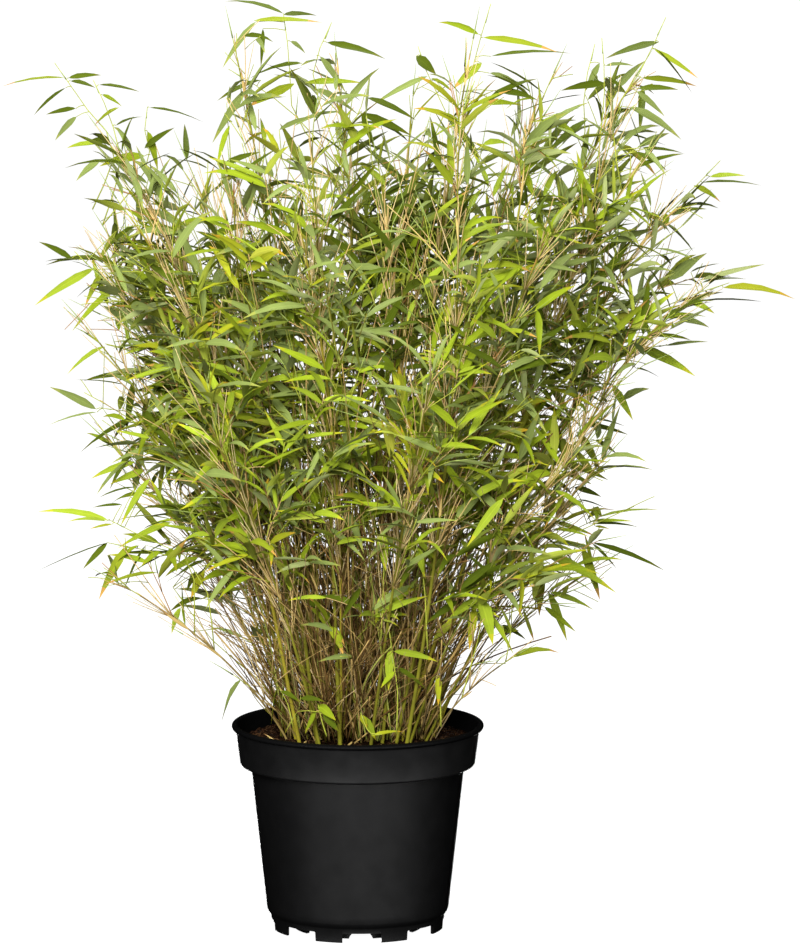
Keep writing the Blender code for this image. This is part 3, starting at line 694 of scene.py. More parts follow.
def grow_culms(rng):
    """Every culm's line, kept clear of the lines before it, as the solids are."""
    lines = []
    taken = np.array([(1.0, 1.0, 1.0)])
    for azimuth, reach, height in TIPS:
        outward = min(1.0, reach / height / FULL_LEAN)
        best = None
        for _ in range(FOOT_TRIES):
            foot_radius = (FOOT_NEAR + (FOOT_FAR - FOOT_NEAR) * outward) * rng.uniform(0.8, 1.05)
            foot_azimuth = azimuth + rng.uniform(-FOOT_TURN, FOOT_TURN)
            sway = rng.uniform(-SWAY, SWAY)
            line = culm_line(azimuth, reach * MM, height * MM, foot_azimuth, foot_radius, sway)
            seen = np.array(spaced(line, 4 * MM))
            room = np.sqrt(((seen[:, None] - taken[None]) ** 2).sum(axis=2)).min()
            if best is None or room > best[0]:
                best = (room, line)
            if room > LIMB_SPACING:
                break
        lines.append(best[1])
        taken = np.concatenate([taken, np.array(spaced(best[1], 4 * MM))])
    return lines


def graded(table, place):
    """The value at a place, in a straight line between the rows of (place, value) round it."""
    for (low, first), (high, second) in zip(table, table[1:]):
        if place < high:
            return first + (second - first) * max(0.0, place - low) / (high - low)
    return table[-1][1]


def crown_edge(point):
    """The crown's radius towards a point, at the point's height."""
    side = CROWN_RIGHT if point.x > 0 else CROWN_LEFT
    share = (point.x / max(point.xy.length, 0.001)) ** 2
    height = point.z / MM
    return (graded(side, height) * share + graded(CROWN_DEPTH, height) * (1 - share)) * MM


def in_crown(point, reach, height):
    """Whether a place is within a culm's own reach and inside the outline of the crown."""
    radius = point.xy.length
    low = CROWN_FOOT + CROWN_SLOPE * (radius - POT_REACH)
    if not (radius < reach and low < point.z < height):
        return False
    top = graded(CROWN_TOP, point.x / MM) * MM - TOP_INSET
    return radius < crown_edge(point) * EDGE_INSET and point.z + VIEW_RISE * point.y < top


def in_opening(point):
    """Whether a place lies in front of, in or behind one of the openings."""
    across = point.x / MM
    up = (point.z + VIEW_RISE * point.y) / MM
    return any(math.hypot(across - place[0], up - place[1]) < place[2] for place in OPENINGS)


def thinned(point, rng):
    """Leaves thin out towards the crown's edge and its top, and in a few places of their own."""
    ratio = point.xy.length / max(0.05, crown_edge(point))
    across = point.x / MM
    up = (point.z + VIEW_RISE * point.y) / MM
    for middle, level, half_width, half_height, share in THIN_PLACES:
        aside = math.hypot((across - middle) / half_width, (up - level) / half_height)
        if aside < 1 and rng.random() > share:
            return True
    middle, level, half_width, half_height = PAINTED_SHADE_HEART
    if point.y < 0 and math.hypot((across - middle) / half_width, (up - level) / half_height) < 1:
        return rng.random() > FRONT_OF_HEART
    kept = graded(TOP_SHARE, point.z) if point.z > SHOULDER else graded(EDGE_SHARE, ratio)
    return rng.random() > kept


def seen_from_front(across, up, depth):
    """The place, at a depth in mm, that is seen at a number of mm across and up from the front."""
    tilt = math.radians(ELEVATION)
    grown = 1 + depth * MM * math.cos(tilt) / DISTANCE
    x = AIM.x + (across * MM - AIM.x) * grown
    middle = AIM.z * math.cos(tilt)
    rise = middle + (up * MM - middle) * grown
    return Vector((x, depth * MM, (rise - depth * MM * math.sin(tilt)) / math.cos(tilt)))


# ---------------------------------------------------------------- strands


def strand_template(rings, sides):
    """A closed tube of radius 1 along Z, with a ring at each whole height."""
    bm = bmesh.new()
    bmesh.ops.create_circle(bm, cap_ends=True, segments=sides, radius=1.0)
    end = bm.faces[:]
    for step in range(1, rings):
        made = bmesh.ops.extrude_face_region(bm, geom=end)["geom"]
        verts = [part for part in made if isinstance(part, bmesh.types.BMVert)]
        bmesh.ops.translate(bm, verts=verts, vec=UP)
        if step > 1:
            bmesh.ops.delete(bm, geom=end, context="FACES_ONLY")
        end = [part for part in made if isinstance(part, bmesh.types.BMFace)]
    bmesh.ops.recalc_face_normals(bm, faces=bm.faces)

    def uv(place):
        return (math.atan2(place.y, place.x) / math.tau + 0.5, place.z / (rings - 1) * 0.98)

    return Template(bm, uv, lambda face: 0, lambda place: False)


def strand_places(template, paths, radii):
    """The template bent along paths[copy, ring], with the radii[copy, ring]."""
    ahead = np.gradient(paths, axis=1)
    ahead /= np.linalg.norm(ahead, axis=2, keepdims=True)
    whole = paths[:, -1] - paths[:, 0]
    axis = np.eye(3)[np.argmin(np.abs(whole), axis=1)]
    side = np.cross(ahead, axis[:, None, :])
    side /= np.linalg.norm(side, axis=2, keepdims=True)
    other = np.cross(ahead, side)
    ring = np.rint(template.places[:, 2]).astype(int)
    x = template.places[:, 0][None, :, None]
    y = template.places[:, 1][None, :, None]
    width = radii[:, ring][..., None]
    return paths[:, ring] + (side[:, ring] * x + other[:, ring] * y) * width


class Strands:
    """Tubes of one kind that become one joined mesh: twigs, thin stems or fibres."""

    def __init__(self, rings, sides):
        self.template = strand_template(rings, sides)
        self.rings = rings
        self.paths = []
        self.radii = []
        self.shades = []

    def add(self, points, start, end, shade=0):
        """A tube along points, from one radius to another."""
        path = Path(points).cut(0, lengths(points)[-1], self.rings - 1)
        self.paths.append(path)
        self.radii.append([start + (end - start) * i / (self.rings - 1) for i in range(self.rings)])
        self.shades.append(shade)

    def mesh(self, name):
        """All the tubes as one mesh."""
        places = strand_places(self.template, np.array(self.paths, np.float64), np.array(self.radii))
        return joined_mesh(name, self.template, places, np.array(self.shades))


def turned_copies(template, centres, sizes, rng):
    """The template at each centre, turned at random and scaled by sizes[copy, axis]."""
    turns = rng.normal(size=(len(centres), 4))
    turns /= np.linalg.norm(turns, axis=1, keepdims=True)
    w, x, y, z = turns.T
    matrix = np.array(
        [
            [1 - 2 * (y * y + z * z), 2 * (x * y - z * w), 2 * (x * z + y * w)],
            [2 * (x * y + z * w), 1 - 2 * (x * x + z * z), 2 * (y * z - x * w)],
            [2 * (x * z - y * w), 2 * (y * z + x * w), 1 - 2 * (x * x + y * y)],
        ]
    )
    local = template.places[None] * sizes[:, None, :]
    return centres[:, None, :] + np.einsum("ijn,nkj->nki", matrix, local)


# ---------------------------------------------------------------- leaves

LEAF_ROWS = (0.0, 0.09, 0.27, 0.52, 0.78, 1.0)
LEAF_HALF_WIDTHS = (0.0, 0.56, 1.0, 0.86, 0.46, 0.0)
LEAF_THICK = 0.22 * MM
TIP_ROW = 0.7  # from here on a leaf can take the colour of a dry tip


def leaf_template():
    """A blade of two strips on each face.

    Its x goes from -1 to 1 across, its y from 0 to 1 along, and its z down to -1 below.
    """
    bm = bmesh.new()
    bmesh.ops.create_grid(bm, x_segments=2, y_segments=len(LEAF_ROWS) - 1, size=1.0)
    for vert in bm.verts:
        row = round((vert.co.y + 1) / 2 * (len(LEAF_ROWS) - 1))
        vert.co.y = LEAF_ROWS[row]
        if row in (0, len(LEAF_ROWS) - 1):
            vert.co.x = 0.0
    under = bmesh.ops.duplicate(bm, geom=bm.verts[:] + bm.edges[:] + bm.faces[:])["geom"]
    lower = [part for part in under if isinstance(part, bmesh.types.BMVert)]
    for vert in lower:
        if abs(vert.co.x) < 0.5 and 0 < vert.co.y < 1:
            vert.co.z = -1.0
    bmesh.ops.reverse_faces(bm, faces=[part for part in under if isinstance(part, bmesh.types.BMFace)])
    bmesh.ops.remove_doubles(bm, verts=bm.verts, dist=0.001)
    bmesh.ops.dissolve_degenerate(bm, edges=bm.edges, dist=0.001)

    def shade(face):
        below = any(vert.co.z < -0.5 for vert in face.verts)
        dry = face.calc_center_median().y > TIP_ROW
        return (1 if below else 0) + (2 if dry else 0)

    return Template(
        bm,
        lambda place: (place.x / 2 + 0.5, place.y * 0.98),
        shade,
        lambda place: abs(place.x) > 0.5 or place.y in (0.0, 1.0),
    )


class Leaves:
    """Leaves of one colour, which become one joined mesh."""

    def __init__(self):
        self.rows = []

    def add(self, base, along, up, length, width, droop, twist, fold):
        """One leaf: where it starts and points, which way it faces, its size and its bends."""
        self.rows.append((*base, *along, *up, length, width, droop, twist, fold))

    def places(self, template):
        """Every leaf's corners: its midrib bends down as it goes, and its blade turns about it."""
        rows = np.array(self.rows, np.float64)
        base, along, up = rows[:, 0:3], rows[:, 3:6], rows[:, 6:9]
        length, width, droop, twist, fold = rows[:, 9:14].T
        along = along / np.linalg.norm(along, axis=1, keepdims=True)
        side = np.cross(along, up)
        side /= np.linalg.norm(side, axis=1, keepdims=True)
        count = len(LEAF_ROWS)
        middle = np.zeros((len(rows), count, 3))
        aim = np.zeros((len(rows), count, 3))
        middle[:, 0] = base
        for row, t in enumerate(LEAF_ROWS):
            way = along - np.outer(droop * t, (0.0, 0.0, 1.0))
            aim[:, row] = way / np.linalg.norm(way, axis=1, keepdims=True)
            if row:
                step = (t - LEAF_ROWS[row - 1]) * length
                half = (aim[:, row] + aim[:, row - 1]) / 2
                middle[:, row] = middle[:, row - 1] + half * step[:, None]
        row = np.array([LEAF_ROWS.index(round(float(y), 6)) for y in template.places[:, 1]])
        t = np.array(LEAF_ROWS)[row]
        half_width = np.array(LEAF_HALF_WIDTHS)[row][None] * width[:, None] / 2
        turn = twist[:, None] * t[None]
        ahead = aim[:, row]
        across = side[:, None] - (side[:, None] * ahead).sum(axis=2, keepdims=True) * ahead
        across /= np.linalg.norm(across, axis=2, keepdims=True)
        face = np.cross(across, ahead)
        across, face = (
            across * np.cos(turn)[..., None] + face * np.sin(turn)[..., None],
            face * np.cos(turn)[..., None] - across * np.sin(turn)[..., None],
        )
        x = template.places[:, 0][None]
        lift = fold[:, None] * np.abs(x) * half_width + template.places[:, 2][None] * LEAF_THICK
        return middle[:, row] + across * (x * half_width)[..., None] + face * lift[..., None]


# Colours of the leaves' upper faces, undersides and dry tips, as linear values
LEAF_KINDS = {
    "fresh": ((0.260, 0.338, 0.022), (0.32, 0.37, 0.045), (0.36, 0.36, 0.018)),
    "mid": ((0.208, 0.272, 0.012), (0.27, 0.31, 0.036), (0.26, 0.27, 0.012)),
    "grey": ((0.178, 0.224, 0.056), (0.27, 0.31, 0.11), (0.24, 0.26, 0.05)),
    # deep: a dark green, used mostly as painted shade: pick_kind puts it behind, high up and in the crown's
    # middle
    "deep": ((0.070, 0.098, 0.006), (0.12, 0.15, 0.02), (0.10, 0.11, 0.006)),
    "yellow": ((0.28, 0.30, 0.014), (0.35, 0.36, 0.038), (0.42, 0.27, 0.02)),
    "tipped": ((0.21, 0.255, 0.014), (0.28, 0.31, 0.03), (0.42, 0.24, 0.05)),
    "straw": ((0.52, 0.375, 0.13), (0.54, 0.41, 0.17), (0.38, 0.22, 0.08)),
}
KIND_WEIGHTS = {"fresh": 0.19, "mid": 0.28, "grey": 0.27, "deep": 0.15, "yellow": 0.05, "tipped": 0.06}


# ---------------------------------------------------------------- growth

GROWTH_SEED = 23
BRANCH_SHARE = 0.27  # of a culm's rise, below its lowest branches
TIP_BARE = 34 * MM
BRANCH_REACH = ((0.0, 95), (0.25, 135), (0.55, 120), (0.8, 78), (1.0, 42))  # share of the culm, mm
BRANCH_FAN = ((0.0, 3.4), (0.3, 4.6), (0.6, 4.0), (0.85, 3.0), (1.0, 2.4))
LEAF_SHARE = ((0.0, 0.75), (0.3, 1.0), (0.65, 0.85), (1.0, 0.75))
FULL_REACH = 0.44  # m, for whatever isn't held to one culm's reach and height
FULL_HEIGHT = 0.955  # m
LOW_CULM = 450  # mm, under which a culm branches only in its upper half
TAN_TOP = 0.46  # m, below which most twigs are tan
BUNDLE_TOP = 0.72  # m, below which a culm's nodes carry many bare twigs
LEAD_FOOT = 0.45  # of its depth, where a lead starts
LEAN_RISE = 480  # mm, over which it leans to its whole depth
LEFT_LOBE = -0.22  # m, to whose left the leads are at their fullest
THIN_STEMS = 260
WHIPS = 105
CANE_BITS = 260
HEART_TWIGS = 75
HEART_DEPTH = (10, 130)  # mm
HEART_RANGE = 0.12  # m, the furthest that a twig grows from its culm
THIN_FOOT = 85 * MM  # the furthest from the axis that a thin stem starts
FRONT_FOOT = 0.55  # of its distance to the front, that a front stem's foot keeps
FOOT_RISE = 260 * MM  # over which such a stem comes forward again
BRANCH_TONES = ((0.62, 0.16, 0.22), (0.34, 0.12, 0.54))  # shares of tan, rust and green: low, high
TWIG_TONES = ((0.35, 0.15, 0.5), (0.18, 0.10, 0.72))
# Darker kinds for shoot leaves high up: painted shade
SHADED_SHOOT_KINDS = {"fresh": "mid", "yellow": "tipped", "mid": "grey", "grey": "deep"}  # high up
CULM_RINGS = 90
CULM_SIDES = 10
CULM_NODES = 13
CULM_BARE = 60 * MM  # the last stretch of its line, which the leaves take up
NODE_SWELL = 0.22
NODE_WIDTH = 0.035  # of the stretch between two nodes
GROOVE = 0.10
GROOVE_PLACE = 0.05
GROOVE_WIDTH = 0.02


# Culms that the solids have no room for, in mm as seen from the front: depth and path
LEADS = (
    (-40, ((-63, 200), (-88, 338), (-133, 523), (-172, 656), (-211, 741), (-246, 795), (-277, 837))),
    (-130, ((-18, 199), (-24, 338), (-32, 544), (-40, 698), (-46, 800), (-38, 868))),
    (-185, ((49, 195), (74, 338), (97, 544), (103, 698), (103, 790), (115, 874))),
    (-60, ((44, 200), (95, 338), (165, 513), (218, 667), (247, 769), (272, 851))),
    (-30, ((66, 203), (124, 338), (198, 513), (259, 656), (305, 718), (354, 767))),
    (-55, ((69, 199), (136, 318), (208, 461), (267, 572), (319, 628), (366, 654))),
    (-30, ((-59, 203), (-98, 338), (-156, 490), (-198, 593), (-238, 646), (-279, 685))),
    (-100, ((-41, 195), (-61, 338), (-98, 513), (-119, 646), (-127, 749), (-133, 812))),
    (-95, ((25, 195), (38, 338), (44, 513), (35, 646), (27, 749), (13, 823))),
    (-120, ((-59, 197), (-98, 379), (-146, 564), (-203, 685), (-246, 749), (-264, 778))),
    (20, ((-67, 199), (-125, 400), (-190, 564), (-240, 656), (-264, 716))),
    (-70, ((-41, 197), (-80, 379), (-129, 544), (-182, 677), (-231, 780), (-260, 823))),
    (-60, ((38, 197), (74, 338), (124, 513), (151, 646), (167, 749), (173, 835))),
)
# Shoots at the crown's edge and in front of the thin stems, in mm as seen from the front:
# depth (None: that of the nearest culm), path, and leaves as base, tip, width and colour
SHOOTS = (
    (None, ((-247, 798), (-275, 839), (-308, 886)), (
        ((-298, 871), (-362, 862), 7.6, "yellow"), ((-297, 861), (-328, 832), 7.6, "grey"),
        ((-294, 871), (-261, 874), 5.6, "grey"), ((-292, 868), (-267, 861), 7.6, "grey"),
        ((-287, 840), (-317, 834), 6.6, "grey"), ((-286, 832), (-307, 807), 6.6, "mid"),
        ((-267, 804), (-296, 800), 7.6, "fresh"), ((-263, 786), (-286, 766), 10.7, "mid"),
    )),
    (None, ((-242, 782), (-252, 831), (-269, 869)), (
        ((-263, 864), (-222, 857), 8.6, "grey"), ((-260, 854), (-240, 841), 6.6, "fresh"),
        ((-243, 841), (-268, 822), 8.6, "yellow"), ((-246, 823), (-218, 833), 5.6, "grey"),
    )),
    (None, ((-213, 782), (-217, 810), (-214, 841)), (
        ((-212, 841), (-158, 826), 6.6, "deep"), ((-217, 800), (-187, 821), 6.6, "grey"),
        ((-214, 817), (-204, 778), 9.7, "fresh"), ((-217, 792), (-263, 781), 9.7, "fresh"),
    )),
    (None, ((-223, 624), (-252, 658), (-289, 695)), (
        ((-292, 688), (-325, 705), 6.6, "deep"), ((-285, 686), (-319, 685), 5.6, "grey"),
        ((-269, 678), (-329, 640), 8.6, "fresh"), ((-260, 674), (-278, 638), 7.6, "tipped"),
        ((-246, 716), (-264, 685), 10.7, "fresh"), ((-243, 660), (-290, 613), 9.7, "mid"),
    )),
    (None, ((-63, 831), (-69, 890), (-75, 936)), (
        ((-75, 936), (-135, 950), 5.6, "grey"), ((-75, 935), (-41, 934), 6.6, "grey"),
        ((-105, 929), (-36, 927), 6.6, "yellow"), ((-103, 928), (-135, 880), 6.6, "mid"),
        ((-96, 921), (-98, 882), 5.6, "grey"), ((-68, 908), (-53, 895), 6.6, "mid"),
        ((-56, 886), (-110, 869), 6.6, "grey"), ((-64, 865), (-112, 841), 9.7, "yellow"),
    )),
    (None, ((-36, 839), (-45, 880), (-26, 927)), (
        ((-31, 907), (28, 890), 7.6, "grey"), ((-38, 893), (-12, 856), 8.6, "mid"),
        ((-53, 866), (6, 866), 7.6, "fresh"), ((-42, 860), (1, 833), 11.7, "mid"),
    )),
    (None, ((-59, 829), (-98, 860), (-131, 880)), (
        ((-98, 869), (-142, 847), 6.6, "grey"), ((-113, 860), (-146, 805), 8.6, "mid"),
    )),
    (None, ((-129, 782), (-131, 810), (-133, 846)), (
        ((-133, 829), (-124, 839), 5.6, "mid"), ((-130, 823), (-142, 782), 7.6, "fresh"),
        ((-129, 828), (-130, 826), 4.5, "mid"),
    )),
    (None, ((-6, 816), (3, 839), (9, 860)), (
        ((10, 851), (59, 828), 8.6, "deep"), ((3, 835), (55, 812), 8.6, "grey"),
        ((5, 835), (17, 800), 7.6, "deep"),
    )),
    (None, ((107, 816), (120, 890), (136, 946)), (
        ((124, 915), (83, 929), 6.6, "fresh"), ((128, 912), (203, 897), 6.6, "tipped"),
        ((136, 893), (218, 896), 4.5, "grey"), ((132, 847), (183, 872), 8.6, "grey"),
        ((142, 858), (184, 848), 8.6, "grey"), ((126, 845), (169, 843), 8.6, "fresh"),
        ((127, 886), (98, 860), 9.7, "yellow"), ((135, 876), (167, 862), 5.6, "mid"),
    )),
    (None, ((90, 833), (74, 868), (62, 903)), (
        ((60, 893), (80, 875), 11.7, "grey"), ((75, 870), (97, 856), 9.7, "yellow"),
        ((72, 873), (16, 843), 6.6, "mid"),
    )),
    (None, ((231, 800), (231, 857), (242, 905)), (
        ((247, 886), (233, 858), 6.6, "mid"), ((230, 854), (154, 829), 7.6, "deep"),
        ((235, 829), (192, 790), 8.6, "grey"),
    )),
    (None, ((249, 821), (252, 867), (249, 911)), (
        ((253, 883), (282, 883), 4.5, "mid"), ((252, 866), (208, 858), 8.6, "grey"),
        ((255, 872), (275, 854), 6.6, "deep"),
    )),
    (None, ((261, 829), (290, 880), (314, 932)), (
        ((307, 907), (253, 890), 8.6, "grey"), ((302, 900), (347, 870), 5.6, "tipped"),
        ((306, 899), (341, 855), 8.6, "deep"), ((290, 871), (346, 862), 7.6, "yellow"),
        ((286, 860), (327, 859), 6.6, "grey"), ((285, 857), (313, 832), 7.6, "mid"),
        ((278, 841), (329, 807), 11.7, "mid"), ((290, 800), (331, 795), 6.6, "grey"),
        ((284, 779), (333, 795), 6.6, "grey"), ((284, 796), (315, 776), 6.6, "deep"),
    )),
    (None, ((269, 689), (331, 747), (370, 787)), (
        ((360, 771), (396, 772), 6.6, "fresh"), ((352, 765), (412, 762), 5.6, "grey"),
        ((344, 762), (370, 744), 8.6, "tipped"), ((323, 731), (362, 759), 7.6, "grey"),
        ((321, 732), (357, 739), 5.6, "grey"), ((307, 729), (334, 757), 13.8, "grey"),
        ((314, 724), (342, 694), 9.7, "mid"), ((315, 734), (314, 717), 8.6, "fresh"),
    )),
    (None, ((269, 610), (323, 643), (380, 663)), (
        ((350, 666), (416, 682), 8.6, "grey"), ((374, 658), (447, 646), 8.6, "yellow"),
        ((352, 645), (413, 644), 7.6, "deep"), ((319, 666), (356, 695), 12.8, "grey"),
        ((341, 674), (370, 683), 6.6, "grey"), ((352, 663), (398, 667), 6.6, "grey"),
        ((333, 646), (365, 631), 8.6, "fresh"), ((329, 626), (360, 617), 6.6, "grey"),
        ((311, 628), (351, 630), 6.6, "mid"),
    )),
    (None, ((249, 572), (290, 595), (319, 600)), (
        ((316, 599), (359, 603), 3.5, "grey"), ((286, 599), (345, 567), 10.7, "fresh"),
        ((302, 609), (342, 604), 4.5, "mid"), ((285, 576), (309, 566), 5.6, "deep"),
        ((272, 544), (299, 556), 9.7, "grey"), ((261, 559), (282, 523), 8.6, "fresh"),
    )),
    (None, ((-172, 377), (-215, 400), (-254, 420)), (
        ((-256, 420), (-328, 430), 6.6, "fresh"), ((-258, 419), (-298, 419), 4.5, "fresh"),
        ((-252, 416), (-275, 411), 3.5, "yellow"), ((-242, 436), (-272, 433), 4.5, "deep"),
        ((-213, 463), (-243, 414), 9.7, "fresh"), ((-228, 454), (-265, 443), 5.6, "deep"),
    )),
    (None, ((-157, 354), (-190, 382), (-257, 397)), (
        ((-257, 397), (-330, 367), 5.6, "deep"), ((-257, 397), (-282, 370), 6.6, "deep"),
        ((-236, 394), (-264, 338), 9.7, "tipped"), ((-218, 394), (-240, 348), 10.7, "deep"),
        ((-225, 394), (-247, 378), 6.6, "mid"), ((-203, 388), (-222, 373), 7.6, "mid"),
        ((-172, 388), (-204, 382), 6.6, "deep"),
    )),
    (None, ((-198, 502), (-236, 531), (-261, 535)), (
        ((-268, 534), (-315, 557), 8.6, "grey"), ((-267, 531), (-317, 517), 3.5, "grey"),
        ((-234, 571), (-280, 563), 5.6, "deep"), ((-239, 559), (-290, 564), 3.5, "deep"),
        ((-259, 598), (-296, 568), 7.6, "fresh"), ((-230, 562), (-237, 512), 8.6, "deep"),
        ((-223, 527), (-283, 488), 9.7, "deep"), ((-228, 480), (-273, 462), 7.6, "fresh"),
        ((-218, 472), (-254, 457), 7.6, "fresh"), ((-217, 479), (-246, 488), 7.6, "fresh"),
        ((-224, 502), (-252, 451), 7.6, "deep"),
    )),
    (None, ((-98, 252), (-146, 292), (-190, 351)), (
        ((-182, 330), (-191, 303), 8.6, "fresh"), ((-164, 382), (-198, 361), 8.6, "mid"),
        ((-158, 369), (-171, 340), 10.7, "yellow"), ((-165, 367), (-175, 346), 7.6, "deep"),
    )),
    (None, ((187, 383), (223, 410), (247, 422)), (
        ((244, 422), (312, 431), 6.6, "fresh"), ((239, 419), (283, 419), 4.5, "fresh"),
        ((239, 416), (288, 413), 3.5, "deep"), ((244, 414), (259, 411), 3.5, "yellow"),
        ((223, 454), (250, 444), 6.6, "deep"), ((226, 441), (255, 432), 5.6, "deep"),
    )),
    (None, ((200, 354), (230, 386), (249, 413)), (
        ((241, 397), (315, 367), 5.6, "deep"), ((241, 396), (266, 370), 7.6, "deep"),
        ((231, 392), (248, 338), 9.7, "tipped"), ((223, 373), (273, 381), 5.6, "fresh"),
        ((192, 386), (265, 345), 13.8, "fresh"), ((195, 371), (243, 344), 8.6, "fresh"),
        ((188, 383), (187, 322), 12.8, "yellow"),
    )),
    (None, ((151, 297), (192, 338), (200, 351)), (
        ((196, 346), (215, 296), 10.7, "fresh"), ((198, 346), (242, 327), 6.6, "fresh"),
        ((170, 330), (181, 296), 9.7, "tipped"), ((192, 331), (224, 305), 6.6, "mid"),
        ((144, 307), (166, 306), 7.6, "mid"), ((148, 312), (173, 296), 5.6, "deep"),
    )),
    (None, ((208, 472), (239, 502), (255, 531)), (
        ((234, 525), (275, 516), 5.6, "deep"), ((231, 519), (277, 508), 6.6, "deep"),
        ((244, 502), (266, 488), 7.6, "deep"), ((225, 511), (249, 470), 9.7, "tipped"),
        ((211, 479), (257, 461), 7.6, "mid"), ((208, 470), (240, 457), 7.6, "fresh"),
        ((216, 477), (236, 451), 6.6, "deep"),
    )),
    (-104, ((24, 297), (27, 369), (25, 408)), (
        ((25, 408), (29, 368), 11.7, "fresh"),
    )),
    (-112, ((72, 287), (68, 359), (59, 400)), (
        ((58, 400), (81, 377), 12.8, "fresh"), ((62, 392), (69, 360), 9.7, "fresh"),
        ((56, 398), (48, 382), 6.6, "mid"), ((65, 379), (83, 363), 8.6, "mid"),
    )),
    (-100, ((40, 256), (31, 318), (30, 346)), (
        ((29, 346), (19, 312), 9.7, "fresh"), ((31, 326), (47, 340), 6.6, "mid"),
    )),
    (-96, ((107, 236), (126, 307), (126, 342)), (
        ((126, 341), (138, 292), 14.8, "fresh"), ((124, 338), (92, 313), 10.7, "fresh"),
        ((120, 332), (115, 287), 9.7, "yellow"), ((130, 328), (158, 281), 6.6, "mid"),
        ((127, 326), (107, 305), 7.6, "fresh"),
    )),
    (-102, ((40, 200), (41, 246), (34, 287)), (
        ((34, 287), (32, 245), 9.7, "fresh"), ((37, 285), (82, 274), 9.7, "fresh"),
        ((41, 268), (70, 246), 9.7, "deep"), ((38, 264), (24, 247), 6.6, "mid"),
    )),
    (-78, ((86, 207), (85, 236), (82, 263)), (
        ((82, 261), (83, 229), 7.6, "yellow"),
    )),
    (-60, ((-67, 207), (-72, 230), (-82, 249)), (
        ((-82, 249), (-89, 210), 9.7, "mid"), ((-79, 244), (-59, 231), 5.6, "deep"),
    )),
    (-104, ((25, 199), (12, 201), (3, 221)), (
        ((5, 218), (18, 193), 8.6, "fresh"), ((15, 197), (46, 202), 6.6, "yellow"),
        ((3, 219), (9, 206), 6.6, "yellow"),
    )),
    (-90, ((-32, 197), (-37, 213), (-41, 231)), (
        ((-41, 229), (-23, 213), 9.7, "mid"), ((-43, 223), (-54, 200), 5.6, "mid"),
        ((-36, 220), (-20, 202), 8.6, "deep"), ((-59, 236), (-34, 233), 5.6, "deep"),
        ((-62, 223), (-75, 199), 4.5, "mid"),
    )),
)


def turned(side, ahead, angle):
    """A direction, turned round another by an angle."""
    out = side.copy()
    out.rotate(Matrix.Rotation(angle, 3, ahead))
    return out


def beside(ahead, turn):
    """A direction square to a stem, at a turn round it."""
    return turned(ahead.orthogonal().normalized(), ahead, turn)


def scatter(rng):
    """A small step in any direction."""
    return Vector([rng.gauss(0, 1) for _ in range(3)])


